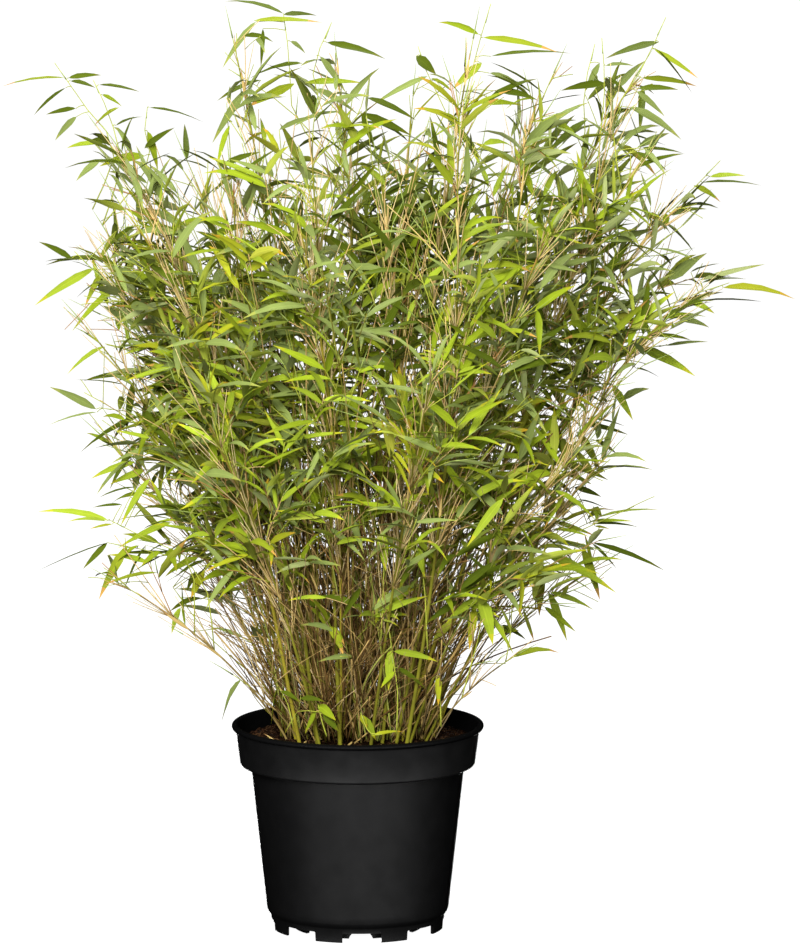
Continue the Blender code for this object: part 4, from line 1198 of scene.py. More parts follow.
class Plant:
    """Everything that grows: branches, twigs, leaves, thin stems, dead twigs and husks."""

    def __init__(self, rng):
        self.rng = rng
        self.leaves = {kind: Leaves() for kind in LEAF_KINDS}
        self.spears = Strands(5, 4)
        self.branches = Strands(7, 5)
        self.twigs = Strands(5, 4)
        self.stems = Strands(18, 6)
        self.dead = Strands(5, 4)
        self.husks = Leaves()
        self.reach = 1.0
        self.height = 1.0
        self.count = 0

    def pick_kind(self, place):
        """A spray's leaf colour, with painted light and shade: greyer at the top, partly the leaves' own
        bluish tone and partly painted sheen; lighter fresh green low down and in front, painted light;
        darker deep green behind, high up and in the crown's shaded middle, painted shade.
        """
        weights = dict(KIND_WEIGHTS)
        high = (place.z - 0.5) / 0.4
        front = -place.y / 0.25
        # Painted light and shade by place: greyer high up (partly painted sheen), fresher low down and in
        # front, deep green behind and high up
        weights["grey"] *= 1 + 2.6 * max(0.0, high)
        weights["fresh"] *= max(0.15, 1 + 1.2 * max(0.0, -high) - 1.0 * max(0.0, high) + 0.4 * front)
        weights["deep"] *= max(0.3, 1 - 0.8 * front) * (1 + 1.8 * max(0.0, high))
        across, up, half_width, half_height = PAINTED_SHADE_HEART
        aside = math.hypot((place.x / MM - across) / half_width, (place.z / MM - up) / half_height)
        # Painted shade: most sprays in the crown's middle take the dark deep green
        weights["deep"] *= 12 if aside < 1 else 1
        return self.rng.choices(list(weights), weights.values())[0]

    def leaf(self, kind, base, way, length, width, free=False):
        """One drooping leaf, if it ends inside the crown and clear of its openings and thin places."""
        rng = self.rng
        droop = rng.uniform(0.05, 0.9)
        end = base + (way - UP * droop * 0.5) * length
        kept = end.xy.length < self.reach and end.z < self.height
        if not (free and kept or in_crown(end, self.reach, self.height)):
            return False
        if thinned(end, rng) or in_opening(end) or in_opening(base.lerp(end, 0.5)):
            return False
        out = Vector((base.x, base.y, 0.0)).normalized()
        up = (UP * 0.9 + out * 0.55 + 0.6 * scatter(rng)).normalized()
        twist, fold = rng.gauss(0, 0.5), rng.uniform(0.1, 0.5)
        self.leaves[kind].add(base, way, up, length, width, droop, twist, fold)
        self.count += 1
        return True

    def spray(self, path, count, size=1.0, free=False):
        """Leaves in turn on both sides of a twig's end, and often a rolled one straight on."""
        rng = self.rng
        end = path[-1]
        ahead = (path[-1] - path[-2]).normalized()
        level = ahead.cross(UP)
        if level.length < 0.1:
            level = Vector((math.cos(self.count), math.sin(self.count), 0.0))
        level.normalize()
        level.rotate(Matrix.Rotation(rng.gauss(0, 0.7), 3, ahead))
        kind = self.pick_kind(end)
        side = rng.choice((-1, 1))
        for index in range(count):
            angle = math.radians(rng.uniform(22, 70))
            way = ahead * math.cos(angle) + level * side * math.sin(angle)
            way += 0.16 * UP * rng.uniform(-1, 1)
            base = end - ahead * index * rng.uniform(4, 9) * MM
            length = size * rng.uniform(38, 70) * MM
            self.leaf(kind, base, way.normalized(), length, length * rng.uniform(0.11, 0.155), free)
            side = -side
        if rng.random() < 0.4:
            length = rng.uniform(18, 36) * MM
            tip = end + (ahead + 0.12 * scatter(rng)) * length
            if in_crown(tip, self.reach, self.height):
                self.spears.add([end, end.lerp(tip, 0.4), tip], 0.7 * MM, 0.12 * MM)

    def shoot(self, depth, path, leaves, culms):
        """A shoot with every leaf at its own place, rooted on the culm that runs nearest to it."""
        rng = self.rng
        root = None
        if depth is None:
            across, up = path[0]
            spots = [spot for culm in culms for spot in culm if spot.z < (up - 55) * MM]
            root = min(spots, key=lambda spot: (seen_from_front(across, up, spot.y / MM) - spot).length)
            depth = root.y / MM
        points = [seen_from_front(*place, depth) for place in path]
        if root:
            points.insert(0, root)
        line = Path(eased(points, 4))
        self.branches.add(line.points, 0.75 * MM, 0.4 * MM, 2)
        ends = spaced(line.points, 3 * MM)
        for base, tip, width, kind in leaves:
            start = seen_from_front(*base, depth + rng.uniform(-4, 4))
            end = seen_from_front(*tip, depth + rng.uniform(-16, 16))
            near = min(ends, key=lambda spot: (spot - start).length + 0.4 * max(0.0, spot.z - start.z))
            if (near - start).length > 2 * MM:
                self.twigs.add([near, near.lerp(start, 0.5) + UP * MM, start], 0.45 * MM, 0.36 * MM, 2)
            chord = end - start
            droop = rng.uniform(0.15, 0.6)
            way = (chord.normalized() + UP * droop / 2).normalized()
            face = Vector((0.0, -0.75, 0.65)) + 0.45 * scatter(rng)
            twist, fold = rng.gauss(0, 0.3), rng.uniform(0.1, 0.45)
            # High up, a shoot's leaf takes a darker kind: painted shade
            leaves = self.leaves[SHADED_SHOOT_KINDS.get(kind, kind) if start.z > 0.7 else kind]
            leaves.add(start, way, face.normalized(), chord.length * 1.02, width * MM, droop, twist, fold)
        tip = points[-1] + (points[-1] - points[-2]).normalized() * 1.0 * MM
        spike = [points[-1].lerp(points[-2], 0.35), points[-1].lerp(points[-2], 0.1), tip]
        self.spears.add(spike, 0.7 * MM, 0.12 * MM)

    @staticmethod
    def bent(start, way, length, bend, steps):
        """A path that starts one way and bends towards another."""
        points = [start]
        for step in range(steps):
            way = (way + bend / steps).normalized()
            points.append(points[-1] + way * length / steps)
        return points

    def branch(self, root, way, length, stout, leafy):
        """A branch with side twigs from a third of the way along, and leaves at every end."""
        rng = self.rng
        bend = Vector((rng.gauss(0, 0.12), rng.gauss(0, 0.12), rng.uniform(-0.3, 0.12)))
        path = self.bent(root, way, length, bend, 6)
        if not in_crown(path[-1], self.reach, self.height) or in_opening(path[-1]):
            return False
        shade = rng.choices((0, 1, 2), BRANCH_TONES[root.z > TAN_TOP])[0]
        self.branches.add(path, stout, 0.42 * MM, shade)
        line = Path(path)
        walked = length * rng.uniform(0.3, 0.45)
        turn = rng.uniform(0, math.tau)
        while walked < length * 0.92:
            if rng.random() < leafy:
                at, ahead = line.at(walked), line.ahead(walked)
                out = beside(ahead, turn)
                angle = math.radians(rng.uniform(20, 46))
                twig_length = rng.uniform(12, 40) * MM
                twig_way = ahead * math.cos(angle) + out * math.sin(angle)
                twig = self.bent(at, twig_way, twig_length, Vector((0, 0, rng.uniform(-0.3, 0.1))), 4)
                tone = rng.choices((0, 1, 2), TWIG_TONES[at.z > TAN_TOP])[0]
                self.twigs.add(twig, 0.48 * MM, 0.36 * MM, tone)
                self.spray(twig, rng.choices((1, 2, 3), (0.25, 0.45, 0.3))[0])
            walked += rng.uniform(22, 40) * MM
            turn += GOLDEN_ANGLE
        self.spray(path, rng.choices((2, 3, 4), (0.35, 0.45, 0.2))[0])
        return True

    def husk(self, at, ahead, out, length, width):
        """A papery sheath along a stem, standing a little off it at its upper end."""
        way = (ahead + 0.12 * out).normalized()
        base = at + out * 0.8 * MM
        self.husks.add(base, way, out, length, width, 0.0, self.rng.gauss(0, 0.5), -0.7)

    def bundle(self, at, ahead, count):
        """A tight V of pale bare twigs on both sides of a culm's node."""
        rng = self.rng
        side = beside(ahead, rng.uniform(0, math.tau))
        for index in range(count):
            out = turned(side * (1 if index % 2 else -1), ahead, rng.gauss(0, 0.5))
            angle = math.radians(rng.uniform(6, 30))
            way = ahead * math.cos(angle) + out * math.sin(angle)
            bend = Vector((rng.gauss(0, 0.08), rng.gauss(0, 0.08), rng.uniform(-0.05, 0.2)))
            twig = self.bent(at, way, rng.uniform(28, 95) * MM, bend, 3)
            if in_crown(twig[-1], self.reach, self.height):
                self.twigs.add(twig, rng.uniform(0.45, 0.62) * MM, 0.3 * MM, rng.choice((0, 3, 3)))

    def culm(self, line, reach, height, fullness):
        """Grows a culm's branches: a narrow fan of them at each node, longest half way up."""
        rng = self.rng
        low = height < LOW_CULM
        self.reach = reach * MM + TIP_ROOM
        self.height = height * MM + TIP_ROOM
        path = Path(line)
        rise = line[-1].z - line[0].z
        bare = line[0].z + (0.5 if low else BRANCH_SHARE) * rise
        first = next(d for d in path.walked if path.at(d).z > bare)
        turn = rng.uniform(0, math.tau)
        walked = first
        end = path.length - TIP_BARE
        while walked < end:
            share = (walked - first) / (end - first)
            at, ahead = path.at(walked), path.ahead(walked)
            out = beside(ahead, turn)
            fan = graded(BRANCH_FAN, share) * fullness * (0.6 if low else 1.0) + rng.uniform(-1.2, 1.2)
            for _ in range(max(1, round(fan))):
                side = turned(out, ahead, rng.uniform(-1.3, 1.3))
                angle = math.radians(rng.uniform(8, 30) if rng.random() < 0.7 else rng.uniform(30, 52))
                length = graded(BRANCH_REACH, share) * rng.uniform(0.45, 1.0) * MM
                for shrink in (1.0, 0.7, 0.45):
                    way = ahead * math.cos(angle) + side * math.sin(angle)
                    if self.branch(at, way, length * shrink, 0.66 * MM, graded(LEAF_SHARE, share)):
                        break
            self.bundle(at, ahead, rng.choice((4, 6, 7, 9) if at.z < BUNDLE_TOP else (0, 2, 4)))
            for _ in range(rng.choice((0, 1, 1, 2))):
                side = turned(out, ahead, rng.uniform(-2, 2))
                place = path.at(max(0.0, walked - rng.uniform(0, 22) * MM))
                self.husk(place, ahead, side, rng.uniform(18, 42) * MM, rng.uniform(2.2, 4.2) * MM)
            walked += rng.uniform(38, 58) * MM * (1.1 - 0.25 * share)
            turn += GOLDEN_ANGLE
        tip = path.cut(end - 40 * MM, path.length - TIP_BARE, 4)
        self.twigs.add(tip, 0.7 * MM, 0.4 * MM, 2)
        self.spray(tip, 4, 1.0, True)
        spike = path.cut(path.length - TIP_BARE, path.length, 2)
        self.spears.add(spike, 0.8 * MM, 0.12 * MM)

    def whips(self):
        """Long thin shoots through the whole crown, with leaves towards their ends only."""
        rng = self.rng
        self.reach, self.height = FULL_REACH, FULL_HEIGHT
        for _ in range(WHIPS):
            azimuth = rng.choice((rng.uniform(200, 340), rng.uniform(0, 360)))
            spread = rng.uniform(0.35, 1.0)
            height = rng.uniform(560, 930) - 120 * spread
            reach = 300 * spread * rng.uniform(0.75, 1.0)
            foot = THIN_FOOT * (0.25 + 0.7 * spread)
            foot_azimuth = azimuth + rng.gauss(0, 50)
            line = culm_line(azimuth, reach * MM, height * MM, foot_azimuth, foot, rng.gauss(0, 24) * MM)
            line = kept_line(drawn_back(eased(line, 2)))
            shade = rng.choices((1, 3, 2, 0), (0.30, 0.34, 0.20, 0.16))[0]
            self.stems.add(line, rng.uniform(0.7, 1.05) * MM, 0.45 * MM, shade)
            path = Path(line)
            for share in (0.7, 0.86):
                if rng.random() < 0.6:
                    at, ahead = path.at(share * path.length), path.ahead(share * path.length)
                    out = beside(ahead, rng.uniform(0, math.tau))
                    way = (ahead + out * rng.uniform(0.3, 0.7)).normalized()
                    twig = self.bent(at, way, rng.uniform(20, 60) * MM, -0.1 * UP, 4)
                    if in_crown(twig[-1], self.reach, self.height):
                        self.twigs.add(twig, 0.55 * MM, 0.36 * MM, rng.choice((0, 2, 2)))
                        self.spray(twig, rng.choice((2, 3, 3)))
            self.spray(line[-2:], rng.choice((2, 3, 4)))

    def heart(self, culms):
        """More leaves in the crown's middle, on twigs from the nearest culms: most of them take the dark
        deep green there, painted shade.
        """
        rng = self.rng
        self.reach, self.height = FULL_REACH, FULL_HEIGHT
        across, up, half_width, half_height = PAINTED_SHADE_HEART
        spots = [spot for line in culms for spot in spaced(line, 12 * MM)]
        for _ in range(HEART_TWIGS):
            turn = rng.uniform(0, math.tau)
            share = math.sqrt(rng.random())
            column = across + share * half_width * math.cos(turn)
            row = up + share * half_height * math.sin(turn)
            tip = seen_from_front(column, row, rng.uniform(*HEART_DEPTH))
            root = min(spots, key=lambda spot: (spot - tip + 0.05 * UP).length)
            chord = tip - root
            if chord.length < HEART_RANGE:
                twig = self.bent(root, chord.normalized(), chord.length, -0.05 * UP, 4)
                self.twigs.add(twig, 0.5 * MM, 0.36 * MM, 2)
                self.spray(twig, rng.choice((3, 4, 4, 5)))

    def cane_bits(self):
        """Broken old canes and bare twigs, leaning every way between the feet of the stems."""
        rng = self.rng
        for _ in range(CANE_BITS):
            radius = THIN_FOOT * math.sqrt(rng.random())
            azimuth = rng.uniform(0, 360)
            foot = plan_point(azimuth, radius, SOIL_TOP + rng.choice((0, 0, rng.uniform(0, 150))) * MM)
            foot.y *= FRONT_FOOT if foot.y < 0 else 1.0
            out = plan_point(azimuth + rng.gauss(0, 50), 1.0)
            way = (UP + out * rng.uniform(0.2, 1.5)).normalized()
            length = rng.uniform(50, 190) * MM
            bend = Vector((rng.gauss(0, 0.15), rng.gauss(0, 0.15), rng.uniform(-0.2, 0.3)))
            line = self.bent(foot, way, length, bend, 4)
            if line[-1].xy.length < 0.07 + 0.7 * (line[-1].z - 0.18):
                stout = rng.uniform(0.45, 1.1) * MM
                self.dead.add(line, stout, stout * rng.uniform(0.5, 0.9), rng.choice((0, 0, 1, 1, 2)))

    def thicket(self):
        """Thin stems of all ages from the whole of the soil, with dead side twigs and a few leaves."""
        rng = self.rng
        self.reach = 0.36
        self.height = 0.8
        for _ in range(THIN_STEMS):
            spread = math.sqrt(rng.random())
            azimuth = rng.uniform(0, 360)
            height = rng.uniform(360, 760) - 150 * spread * rng.random()
            reach = (40 + 270 * spread ** 1.3) * rng.uniform(0.7, 1.05) * min(1.0, 0.45 + height / 900)
            foot_azimuth = azimuth + rng.gauss(0, 45)
            foot = THIN_FOOT * spread * rng.uniform(0.7, 1.0)
            sway = rng.gauss(0, 24) * MM
            whole = culm_line(azimuth, reach * MM, height * MM, foot_azimuth, foot, sway)
            whole = Path(drawn_back(whole))
            end = whole.length * rng.uniform(0.5, 0.95)
            line = whole.cut(0.0, end, 8)
            stout = rng.uniform(0.5, 1.0) * MM
            shade = rng.choices((0, 1, 2, 3), (0.50, 0.20, 0.22, 0.08))[0]
            self.stems.add(line, stout, stout * rng.uniform(0.45, 0.75), shade)
            path = Path(line)
            for _ in range(rng.choice((4, 5, 5, 6, 7))):
                walked = rng.uniform(0.06, 0.9) * path.length
                at, ahead = path.at(walked), path.ahead(walked)
                out = beside(ahead, rng.uniform(0, math.tau))
                angle = math.radians(rng.uniform(12, 55))
                way = ahead * math.cos(angle) + out * math.sin(angle)
                length = rng.uniform(35, 125) * MM
                bend = Vector((rng.gauss(0, 0.25), rng.gauss(0, 0.25), rng.uniform(-0.5, 0.3)))
                twig = self.bent(at, way, length, bend, 4)
                if twig[-1].z > SOIL_TOP and twig[-1].xy.length < 0.06 + 0.75 * (twig[-1].z - 0.17):
                    stout = rng.uniform(0.34, 0.6) * MM
                    self.dead.add(twig, stout, 0.24 * MM, rng.choice((0, 0, 1, 1, 2)))
            if rng.random() < 0.45:
                walked = rng.uniform(0.05, 0.85) * path.length
                at, ahead = path.at(walked), path.ahead(walked)
                out = beside(ahead, rng.uniform(0, math.tau))
                self.husk(at, ahead, out, rng.uniform(14, 46) * MM, rng.uniform(2.0, 4.6) * MM)
            if rng.random() < 0.30:
                walked = rng.uniform(0.45, 0.98) * path.length
                at, ahead = path.at(walked), path.ahead(walked)
                out = plan_point(azimuth + rng.gauss(0, 40), 1.0)
                way = (ahead + out * 0.8).normalized()
                twig = self.bent(at, way, rng.uniform(15, 45) * MM, -0.2 * UP, 4)
                self.twigs.add(twig, 0.5 * MM, 0.36 * MM, 2)
                self.spray(twig, rng.choice((2, 3, 3, 4)), 0.9)



def culm_piece(lines):
    """Every culm as one joined mesh, with a swollen ring and a groove at each of its nodes."""
    template = strand_template(CULM_RINGS, CULM_SIDES)
    paths = []
    radii = []
    for line in lines:
        path = Path(line)
        steps = [i / (CULM_RINGS - 1) for i in range(CULM_RINGS)]
        place = []
        width = []
        for t in steps:
            along = t * CULM_NODES
            part = along - math.floor(along)
            # rings crowd together at the nodes
            eased_part = part - 0.13 * math.sin(2 * math.pi * part)
            share = min(1.0, (math.floor(along) + eased_part) / CULM_NODES)
            place.append(path.at(share * (path.length - CULM_BARE)))
            stout = CULM_RADIUS * min(1.0, 1.15 * line[-1].z + 0.08 * (len(paths) % 3 - 1))
            radius = stout + (CULM_TIP_RADIUS - stout) * share ** 0.9
            near = min(part, 1 - part)
            swell = NODE_SWELL * math.exp(-((near / NODE_WIDTH) ** 2))
            groove = GROOVE * math.exp(-(((part - GROOVE_PLACE) / GROOVE_WIDTH) ** 2))
            width.append(radius * (1 + swell - groove))
        paths.append(place)
        radii.append(width)
    places = strand_places(template, np.array(paths, np.float64), np.array(radii))
    tones = [2 if line[-1].z < 0.48 else (0, 1, 0)[index % 3] for index, line in enumerate(lines)]
    return joined_mesh("culms", template, places, np.array(tones))


def lead_line(depth, path):
    """A culm's line from its path as seen from the front: it starts in the pot and leans to its depth."""
    points = []
    for across, up in path:
        share = min(1.0, (up - path[0][1]) / LEAN_RISE)
        points.append(seen_from_front(across, up, depth * (LEAD_FOOT + (1 - LEAD_FOOT) * share)))
    points[0].z = SOIL_TOP - 4 * MM
    return eased(points, 4)


def kept_line(line):
    """A culm's line as far as it lies inside the crown, so that no bare end stands out of it."""
    kept = [
        point
        for point in line
        if point.z < 300 * MM or point.xy.length < crown_edge(point) * EDGE_INSET + 12 * MM
    ]
    return line[: max(8, len(kept))]


def leaf_faces(kind):
    """The four materials of a leaf: its upper face, its underside, and both at the tip."""
    upper, under, dry = LEAF_KINDS[kind]
    parts = (("upper", upper, 0.48), ("under", under, 0.6), ("tip", dry, 0.45), ("tip_under", dry, 0.6))
    made = []
    for part, base, rough in parts:
        rib, patch = [value * 1.3 for value in base], [value * 0.75 for value in base]
        made.append(leaf_material(f"leaf_{kind}_{part}", base, rib, patch, rough))
    return made


def add_plant():
    """Grows the plant and adds its pieces, each with its materials."""
    rng = random.Random(GROWTH_SEED)
    lines = [eased(line, 4) for line in grow_culms(random.Random(CULM_SEED))]
    plant = Plant(rng)
    leads = [lead_line(depth, path) for depth, path in LEADS]
    shown = [kept_line(line) for line in lines]
    for line, (_, reach, height) in zip(shown, TIPS):
        plant.culm(line, reach, height, 0.7)
    for line in leads:
        plant.culm(line, 440, 955, 1.0 if line[-1].x < LEFT_LOBE else 0.75)
    plant.thicket()
    plant.cane_bits()
    plant.whips()
    plant.heart(shown + leads)
    for depth, path, leaves in SHOOTS:
        plant.shoot(depth, path, leaves, shown + leads)
    numbers = [f"{number:02d}" for number in range(1, len(TIPS) + 1)]
    masses = ["foliage_" + number for number in numbers]
    bundles = [f"thin_stems_{number:02d}" for number in range(1, 7)]
    cane = mottled("culm_green_skin", (0.19, 0.185, 0.017), (0.09, 0.083, 0.008), 0.38, amount=0.8)
    ripe = mottled("culm_yellow_skin", (0.29, 0.25, 0.022), (0.15, 0.12, 0.011), 0.38, amount=0.8)
    old = mottled("culm_brown_skin", (0.26, 0.19, 0.06), (0.12, 0.085, 0.025), 0.5, amount=0.8)
    canes = ["culm_" + number for number in numbers]
    add_piece("culms", culm_piece(shown + leads), canes, [cane, ripe, old])
    tan = mottled("twig_tan_bark", (0.60, 0.43, 0.17), (0.36, 0.23, 0.08), 0.6)
    rust = mottled("twig_rust_bark", (0.38, 0.20, 0.06), (0.20, 0.10, 0.03), 0.6)
    green = mottled("twig_green_bark", (0.38, 0.41, 0.05), (0.22, 0.26, 0.03), 0.5)
    pale = mottled("twig_pale_bark", (0.64, 0.51, 0.25), (0.44, 0.32, 0.12), 0.6)
    for name, strands in (("branches", plant.branches), ("twigs", plant.twigs)):
        add_piece(name, strands.mesh(name), masses, [tan, rust, green, pale])
    rolled = mottled("rolled_leaf_green", (0.31, 0.39, 0.10), (0.23, 0.30, 0.07), 0.45)
    add_piece("rolled_leaves", plant.spears.mesh("rolled_leaves"), masses, [rolled])
    template = leaf_template()
    for kind, leaves in plant.leaves.items():
        if not leaves.rows:
            continue
        name = f"leaves_{kind}"
        mesh = joined_mesh(name, template, leaves.places(template))
        add_piece(name, mesh, masses, leaf_faces(kind))
    brown = mottled("stem_brown_skin", (0.160, 0.088, 0.026), (0.048, 0.025, 0.008), 0.55)
    straw = mottled("stem_straw_skin", (0.46, 0.32, 0.11), (0.17, 0.105, 0.030), 0.55)
    olive = mottled("stem_olive_skin", (0.17, 0.15, 0.016), (0.065, 0.056, 0.007), 0.5)
    lime = mottled("stem_lime_skin", (0.36, 0.39, 0.08), (0.21, 0.23, 0.03), 0.45)
    grey = mottled("stem_grey_skin", (0.40, 0.30, 0.15), (0.15, 0.095, 0.04), 0.65)
    stems = plant.stems.mesh("thin_stems")
    add_piece("thin_stems", stems, bundles, [brown, straw, olive, lime])
    add_piece("dead_twigs", plant.dead.mesh("dead_twigs"), bundles, [straw, brown, grey])
    husks = joined_mesh("husks", template, plant.husks.places(template))
    add_piece("husks", husks, bundles, leaf_faces("straw"))


# ---------------------------------------------------------------- soil


def soil_height(x, y):
    """The lumpy surface of the peat: highest in the middle, with a shallow moat at the wall."""
    radius = math.hypot(x, y)
    fall = max(0.0, (radius - SOIL_FLAT_RADIUS) / (PEAT_RADIUS - SOIL_FLAT_RADIUS))
    level = SOIL_TOP + (SOIL_EDGE - SOIL_TOP) * min(1.0, fall)
    place = Vector((x, y, 0.0))
    lumps = 2.6 * noise.noise(place * 70) + 1.5 * noise.noise(place * 190) + 0.8 * noise.noise(place * 420)
    return level + (lumps - 0.8) * MM


def peat_bed():
    """The peat: it fills the pot, and its top is lumpy."""
    low = FLOOR_TOP + SOIL_GAP
    wall = [
        (0.0, low),
        (SKIRT_TOP_RADIUS - 1.5 * WALL - 0.5 * MM, low),
        (BODY_FOOT_RADIUS - WALL - 0.5 * MM, BODY_FOOT + 1.2 * WALL),
        (BODY_TOP_RADIUS - WALL - 0.5 * MM, COLLAR_FOOT + 1.2 * WALL),
        (COLLAR_FOOT_RADIUS - 1.6 * WALL - 0.5 * MM, COLLAR_FOOT + 1.7 * WALL),
    ]
    top = [(PEAT_RADIUS * (1 - step / SOIL_RINGS), SOIL_TOP) for step in range(SOIL_RINGS + 1)]
    bm = turned_mesh([*wall, *top], 200)
    for vert in bm.verts:
        if vert.co.z > SOIL_TOP - 0.1 * MM:
            vert.co.z = soil_height(vert.co.x, vert.co.y)
    return mesh_from("peat_bed", bm, 60)


def add_soil():
    """The peat's bed, its crumbs and fibres, and a little fallen straw."""
    rng = random.Random(SOIL_SEED)
    dark, red, pale = (0.013, 0.0062, 0.0034), (0.030, 0.013, 0.0065), (0.09, 0.046, 0.020)
    peat = mottled("peat_dark", dark, (0.0045, 0.0022, 0.0013), 0.95, (0.9, 0.8), 1.0, 0.1)
    light = mottled("peat_red", red, (0.010, 0.0046, 0.0024), 0.95, (0.9, 0.5), 1.0, 0.1)
    wood = mottled("peat_fibre", pale, (0.03, 0.015, 0.007), 0.9, (0.5, 0.2), 1.0, 0.15)
    add_piece("peat_bed", peat_bed(), ["soil"], [peat])
    ball = bmesh.new()
    bmesh.ops.create_icosphere(ball, subdivisions=1, radius=1.0)
    template = Template(
        ball, lambda place: (place.x, place.y * 0.4 + 0.5), lambda face: 0, lambda place: False
    )
    draws = np.random.default_rng(SOIL_SEED)
    spots = []
    for _ in range(CRUMBS):
        radius = (PEAT_RADIUS - 3 * MM) * math.sqrt(rng.random())
        spot = plan_point(rng.uniform(0, 360), radius)
        spot.z = soil_height(spot.x, spot.y) + rng.uniform(-0.2, 0.9) * MM
        spots.append(spot)
    sizes = draws.uniform(0.5, 1.0, (CRUMBS, 3)) * (0.7 + 1.9 * draws.random((CRUMBS, 1)) ** 3) * MM
    places = turned_copies(template, np.array(spots), sizes, draws)
    places += draws.normal(size=places.shape) * sizes.mean(axis=1)[:, None, None] * 0.12
    mesh = joined_mesh("peat_crumbs", template, places, draws.choice((0, 0, 1), CRUMBS))
    add_piece("peat_crumbs", mesh, ["soil"], [peat, light])
    fibres = Strands(5, 4)
    for _ in range(FIBRES):
        radius = (PEAT_RADIUS - 12 * MM) * math.sqrt(rng.random())
        spot = plan_point(rng.uniform(0, 360), radius)
        way = plan_point(rng.uniform(0, 360), rng.uniform(3, 10) * MM)
        middle = spot + way * 0.5 + plan_point(rng.uniform(0, 360), 1.5 * MM)
        points = [spot, middle, spot + way]
        for index, point in enumerate(points):
            point.z = soil_height(point.x, point.y) + (0.2 + index % 2 * rng.uniform(0.4, 2.5)) * MM
        fibres.add(points, rng.uniform(0.2, 0.45) * MM, 0.14 * MM)
    add_piece("peat_fibres", fibres.mesh("peat_fibres"), ["soil"], [wood])
    litter = Leaves()
    for _ in range(LITTER):
        radius = (PEAT_RADIUS - 24 * MM) * math.sqrt(rng.random())
        spot = plan_point(rng.uniform(0, 360), radius)
        spot.z = soil_height(spot.x, spot.y) + rng.uniform(1.2, 5) * MM
        way = (plan_point(rng.uniform(0, 360), 1.0) + UP * rng.uniform(-0.15, 0.25)).normalized()
        length = rng.uniform(9, 32) * MM
        width = rng.uniform(1.4, 4.5) * MM
        litter.add(spot, way, UP, length, width, rng.uniform(0, 0.3), rng.gauss(0, 0.8), -0.4)
    template = leaf_template()
    mesh = joined_mesh("fallen_straw", template, litter.places(template))
    add_piece("fallen_straw", mesh, ["soil"], leaf_faces("straw"))


# ---------------------------------------------------------------- stage

DISTANCE = 8.0
ELEVATION = 8.6
LENS = 296.6
AIM = Vector((43.6 * MM, 0.0, 473.9 * MM))
FLOOR_GLOW = 1.0
WORLD_FILL = 0.19


def add_stage():
    """The pale floor, which glows for the camera alone."""
    floor_mesh = bmesh.new()
    bmesh.ops.create_grid(floor_mesh, x_segments=1, y_segments=1, size=6.0)
    floor = bpy.data.objects.new("floor", mesh_from("floor", floor_mesh))
    bpy.context.scene.collection.objects.link(floor)
    floor.data.transform(Matrix.Translation((0.0, 2.0, 0.0)))
    white = bpy.data.materials.new("studio_white")
    white.use_nodes = True
    tree = white.node_tree
    shader = tree.nodes["Principled BSDF"]
    shader.inputs["Base Color"].default_value = (0.12, 0.12, 0.12, 1.0)
    shader.inputs["Roughness"].default_value = 0.9
    shader.inputs["Specular IOR Level"].default_value = 0.0
    shader.inputs["Emission Color"].default_value = (1.0, 1.0, 1.0, 1.0)
    path = tree.nodes.new("ShaderNodeLightPath")
    glow = maths(tree, "MULTIPLY", path.outputs["Is Camera Ray"], FLOOR_GLOW)
    tree.links.new(glow, shader.inputs["Emission Strength"])
    floor.data.materials.append(white)
    floor.visible_glossy = False


def add_light(name, place, aim, size, power, glossy=True, diffuse=True):
    """A soft box that looks at a point."""
    data = bpy.data.lights.new(name, "AREA")
    data.shape = "RECTANGLE"
    data.size, data.size_y = size
    data.energy = power
    light = bpy.data.objects.new(name, data)
    light.location = place
    light.rotation_euler = (Vector(aim) - Vector(place)).to_track_quat("-Z", "Y").to_euler()
    light.visible_glossy = glossy
    light.visible_diffuse = diffuse
    bpy.context.scene.collection.objects.link(light)


def link_sheen(lights, pot):
    """The long low boxes only draw a soft band of sheen on the pot, and the leaves cast no shadow in it."""
    linked = bpy.data.collections.new("sheen_on_pot")
    linked.objects.link(pot)
    for light in lights:
        light.light_linking.receiver_collection = linked
        light.light_linking.blocker_collection = linked


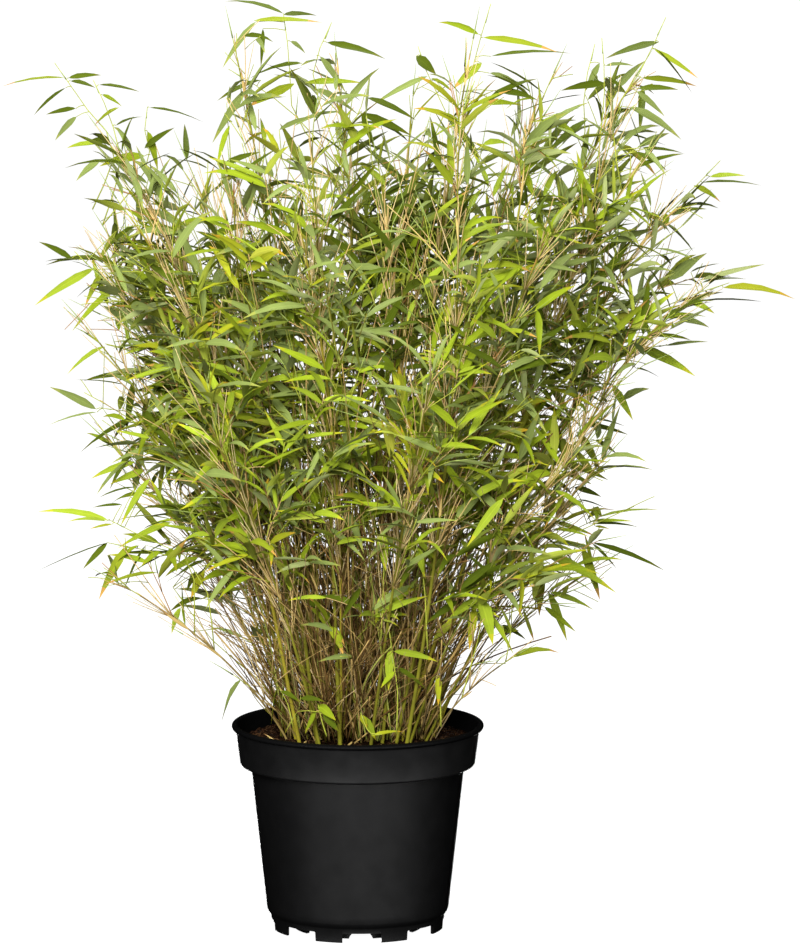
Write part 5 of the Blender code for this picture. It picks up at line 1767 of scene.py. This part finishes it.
def add_studio():
    """A pale world and the soft boxes."""
    world = bpy.data.worlds.new("studio")
    world.use_nodes = True
    tree = world.node_tree
    back = tree.nodes["Background"]
    path = tree.nodes.new("ShaderNodeLightPath")
    seen = maths(tree, "MULTIPLY", path.outputs["Is Camera Ray"], 1.1)
    soft = maths(tree, "MULTIPLY", path.outputs["Is Diffuse Ray"], WORLD_FILL)
    tree.links.new(maths(tree, "ADD", seen, soft), back.inputs["Strength"])
    back.inputs["Color"].default_value = (1.0, 1.0, 1.0, 1.0)
    bpy.context.scene.world = world
    add_light("front_box", (-0.7, -3.5, 2.1), (0, 0, 0.5), (1.9, 1.4), 338, glossy=False)
    add_light("sheen_box", (0.1, -2.4, 0.36), (0, 0, 0.12), (9.0, 0.6), 262, diffuse=False)
    add_light("back_sheen", (0.0, 2.4, -0.5), (0, 0, 0.12), (0.9, 0.6), 45, diffuse=False)
    sheens = [bpy.data.objects[name] for name in ("sheen_box", "back_sheen")]
    link_sheen(sheens, bpy.data.objects["nursery_pot"])
    add_light("left_box", (-3.2, -0.9, 1.5), (0, 0, 0.5), (1.2, 2.2), 24, glossy=False)
    add_light("right_box", (3.2, -0.9, 1.7), (0, 0, 0.5), (1.2, 2.2), 24, glossy=False)
    add_light("top_box", (0.2, -0.3, 3.4), (0, 0, 0.5), (1.4, 1.4), 46)
    add_light("back_box", (0.3, 3.2, 2.4), (0, 0, 0.6), (2.4, 1.6), 85, glossy=False)
    scene = bpy.context.scene
    scene.view_settings.view_transform = "Standard"
    scene.view_settings.look = "None"


def add_camera():
    """The camera, in front and a little above."""
    data = bpy.data.cameras.new("camera")
    data.lens = LENS
    data.clip_end = 60
    camera = bpy.data.objects.new("camera", data)
    tilt = math.radians(ELEVATION)
    camera.location = AIM + DISTANCE * Vector((0.0, -math.cos(tilt), math.sin(tilt)))
    camera.rotation_euler = (math.pi / 2 - tilt, 0.0, 0.0)
    bpy.context.scene.collection.objects.link(camera)
    bpy.context.scene.camera = camera


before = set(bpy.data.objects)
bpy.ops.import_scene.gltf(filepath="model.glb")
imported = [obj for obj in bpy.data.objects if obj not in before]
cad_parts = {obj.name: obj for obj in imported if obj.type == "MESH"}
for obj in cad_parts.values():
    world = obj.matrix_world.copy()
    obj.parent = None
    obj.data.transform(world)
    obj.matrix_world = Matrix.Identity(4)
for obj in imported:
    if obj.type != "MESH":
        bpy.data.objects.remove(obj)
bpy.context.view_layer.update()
add_pot()
add_soil()
add_plant()
add_stage()
add_studio()
add_camera()
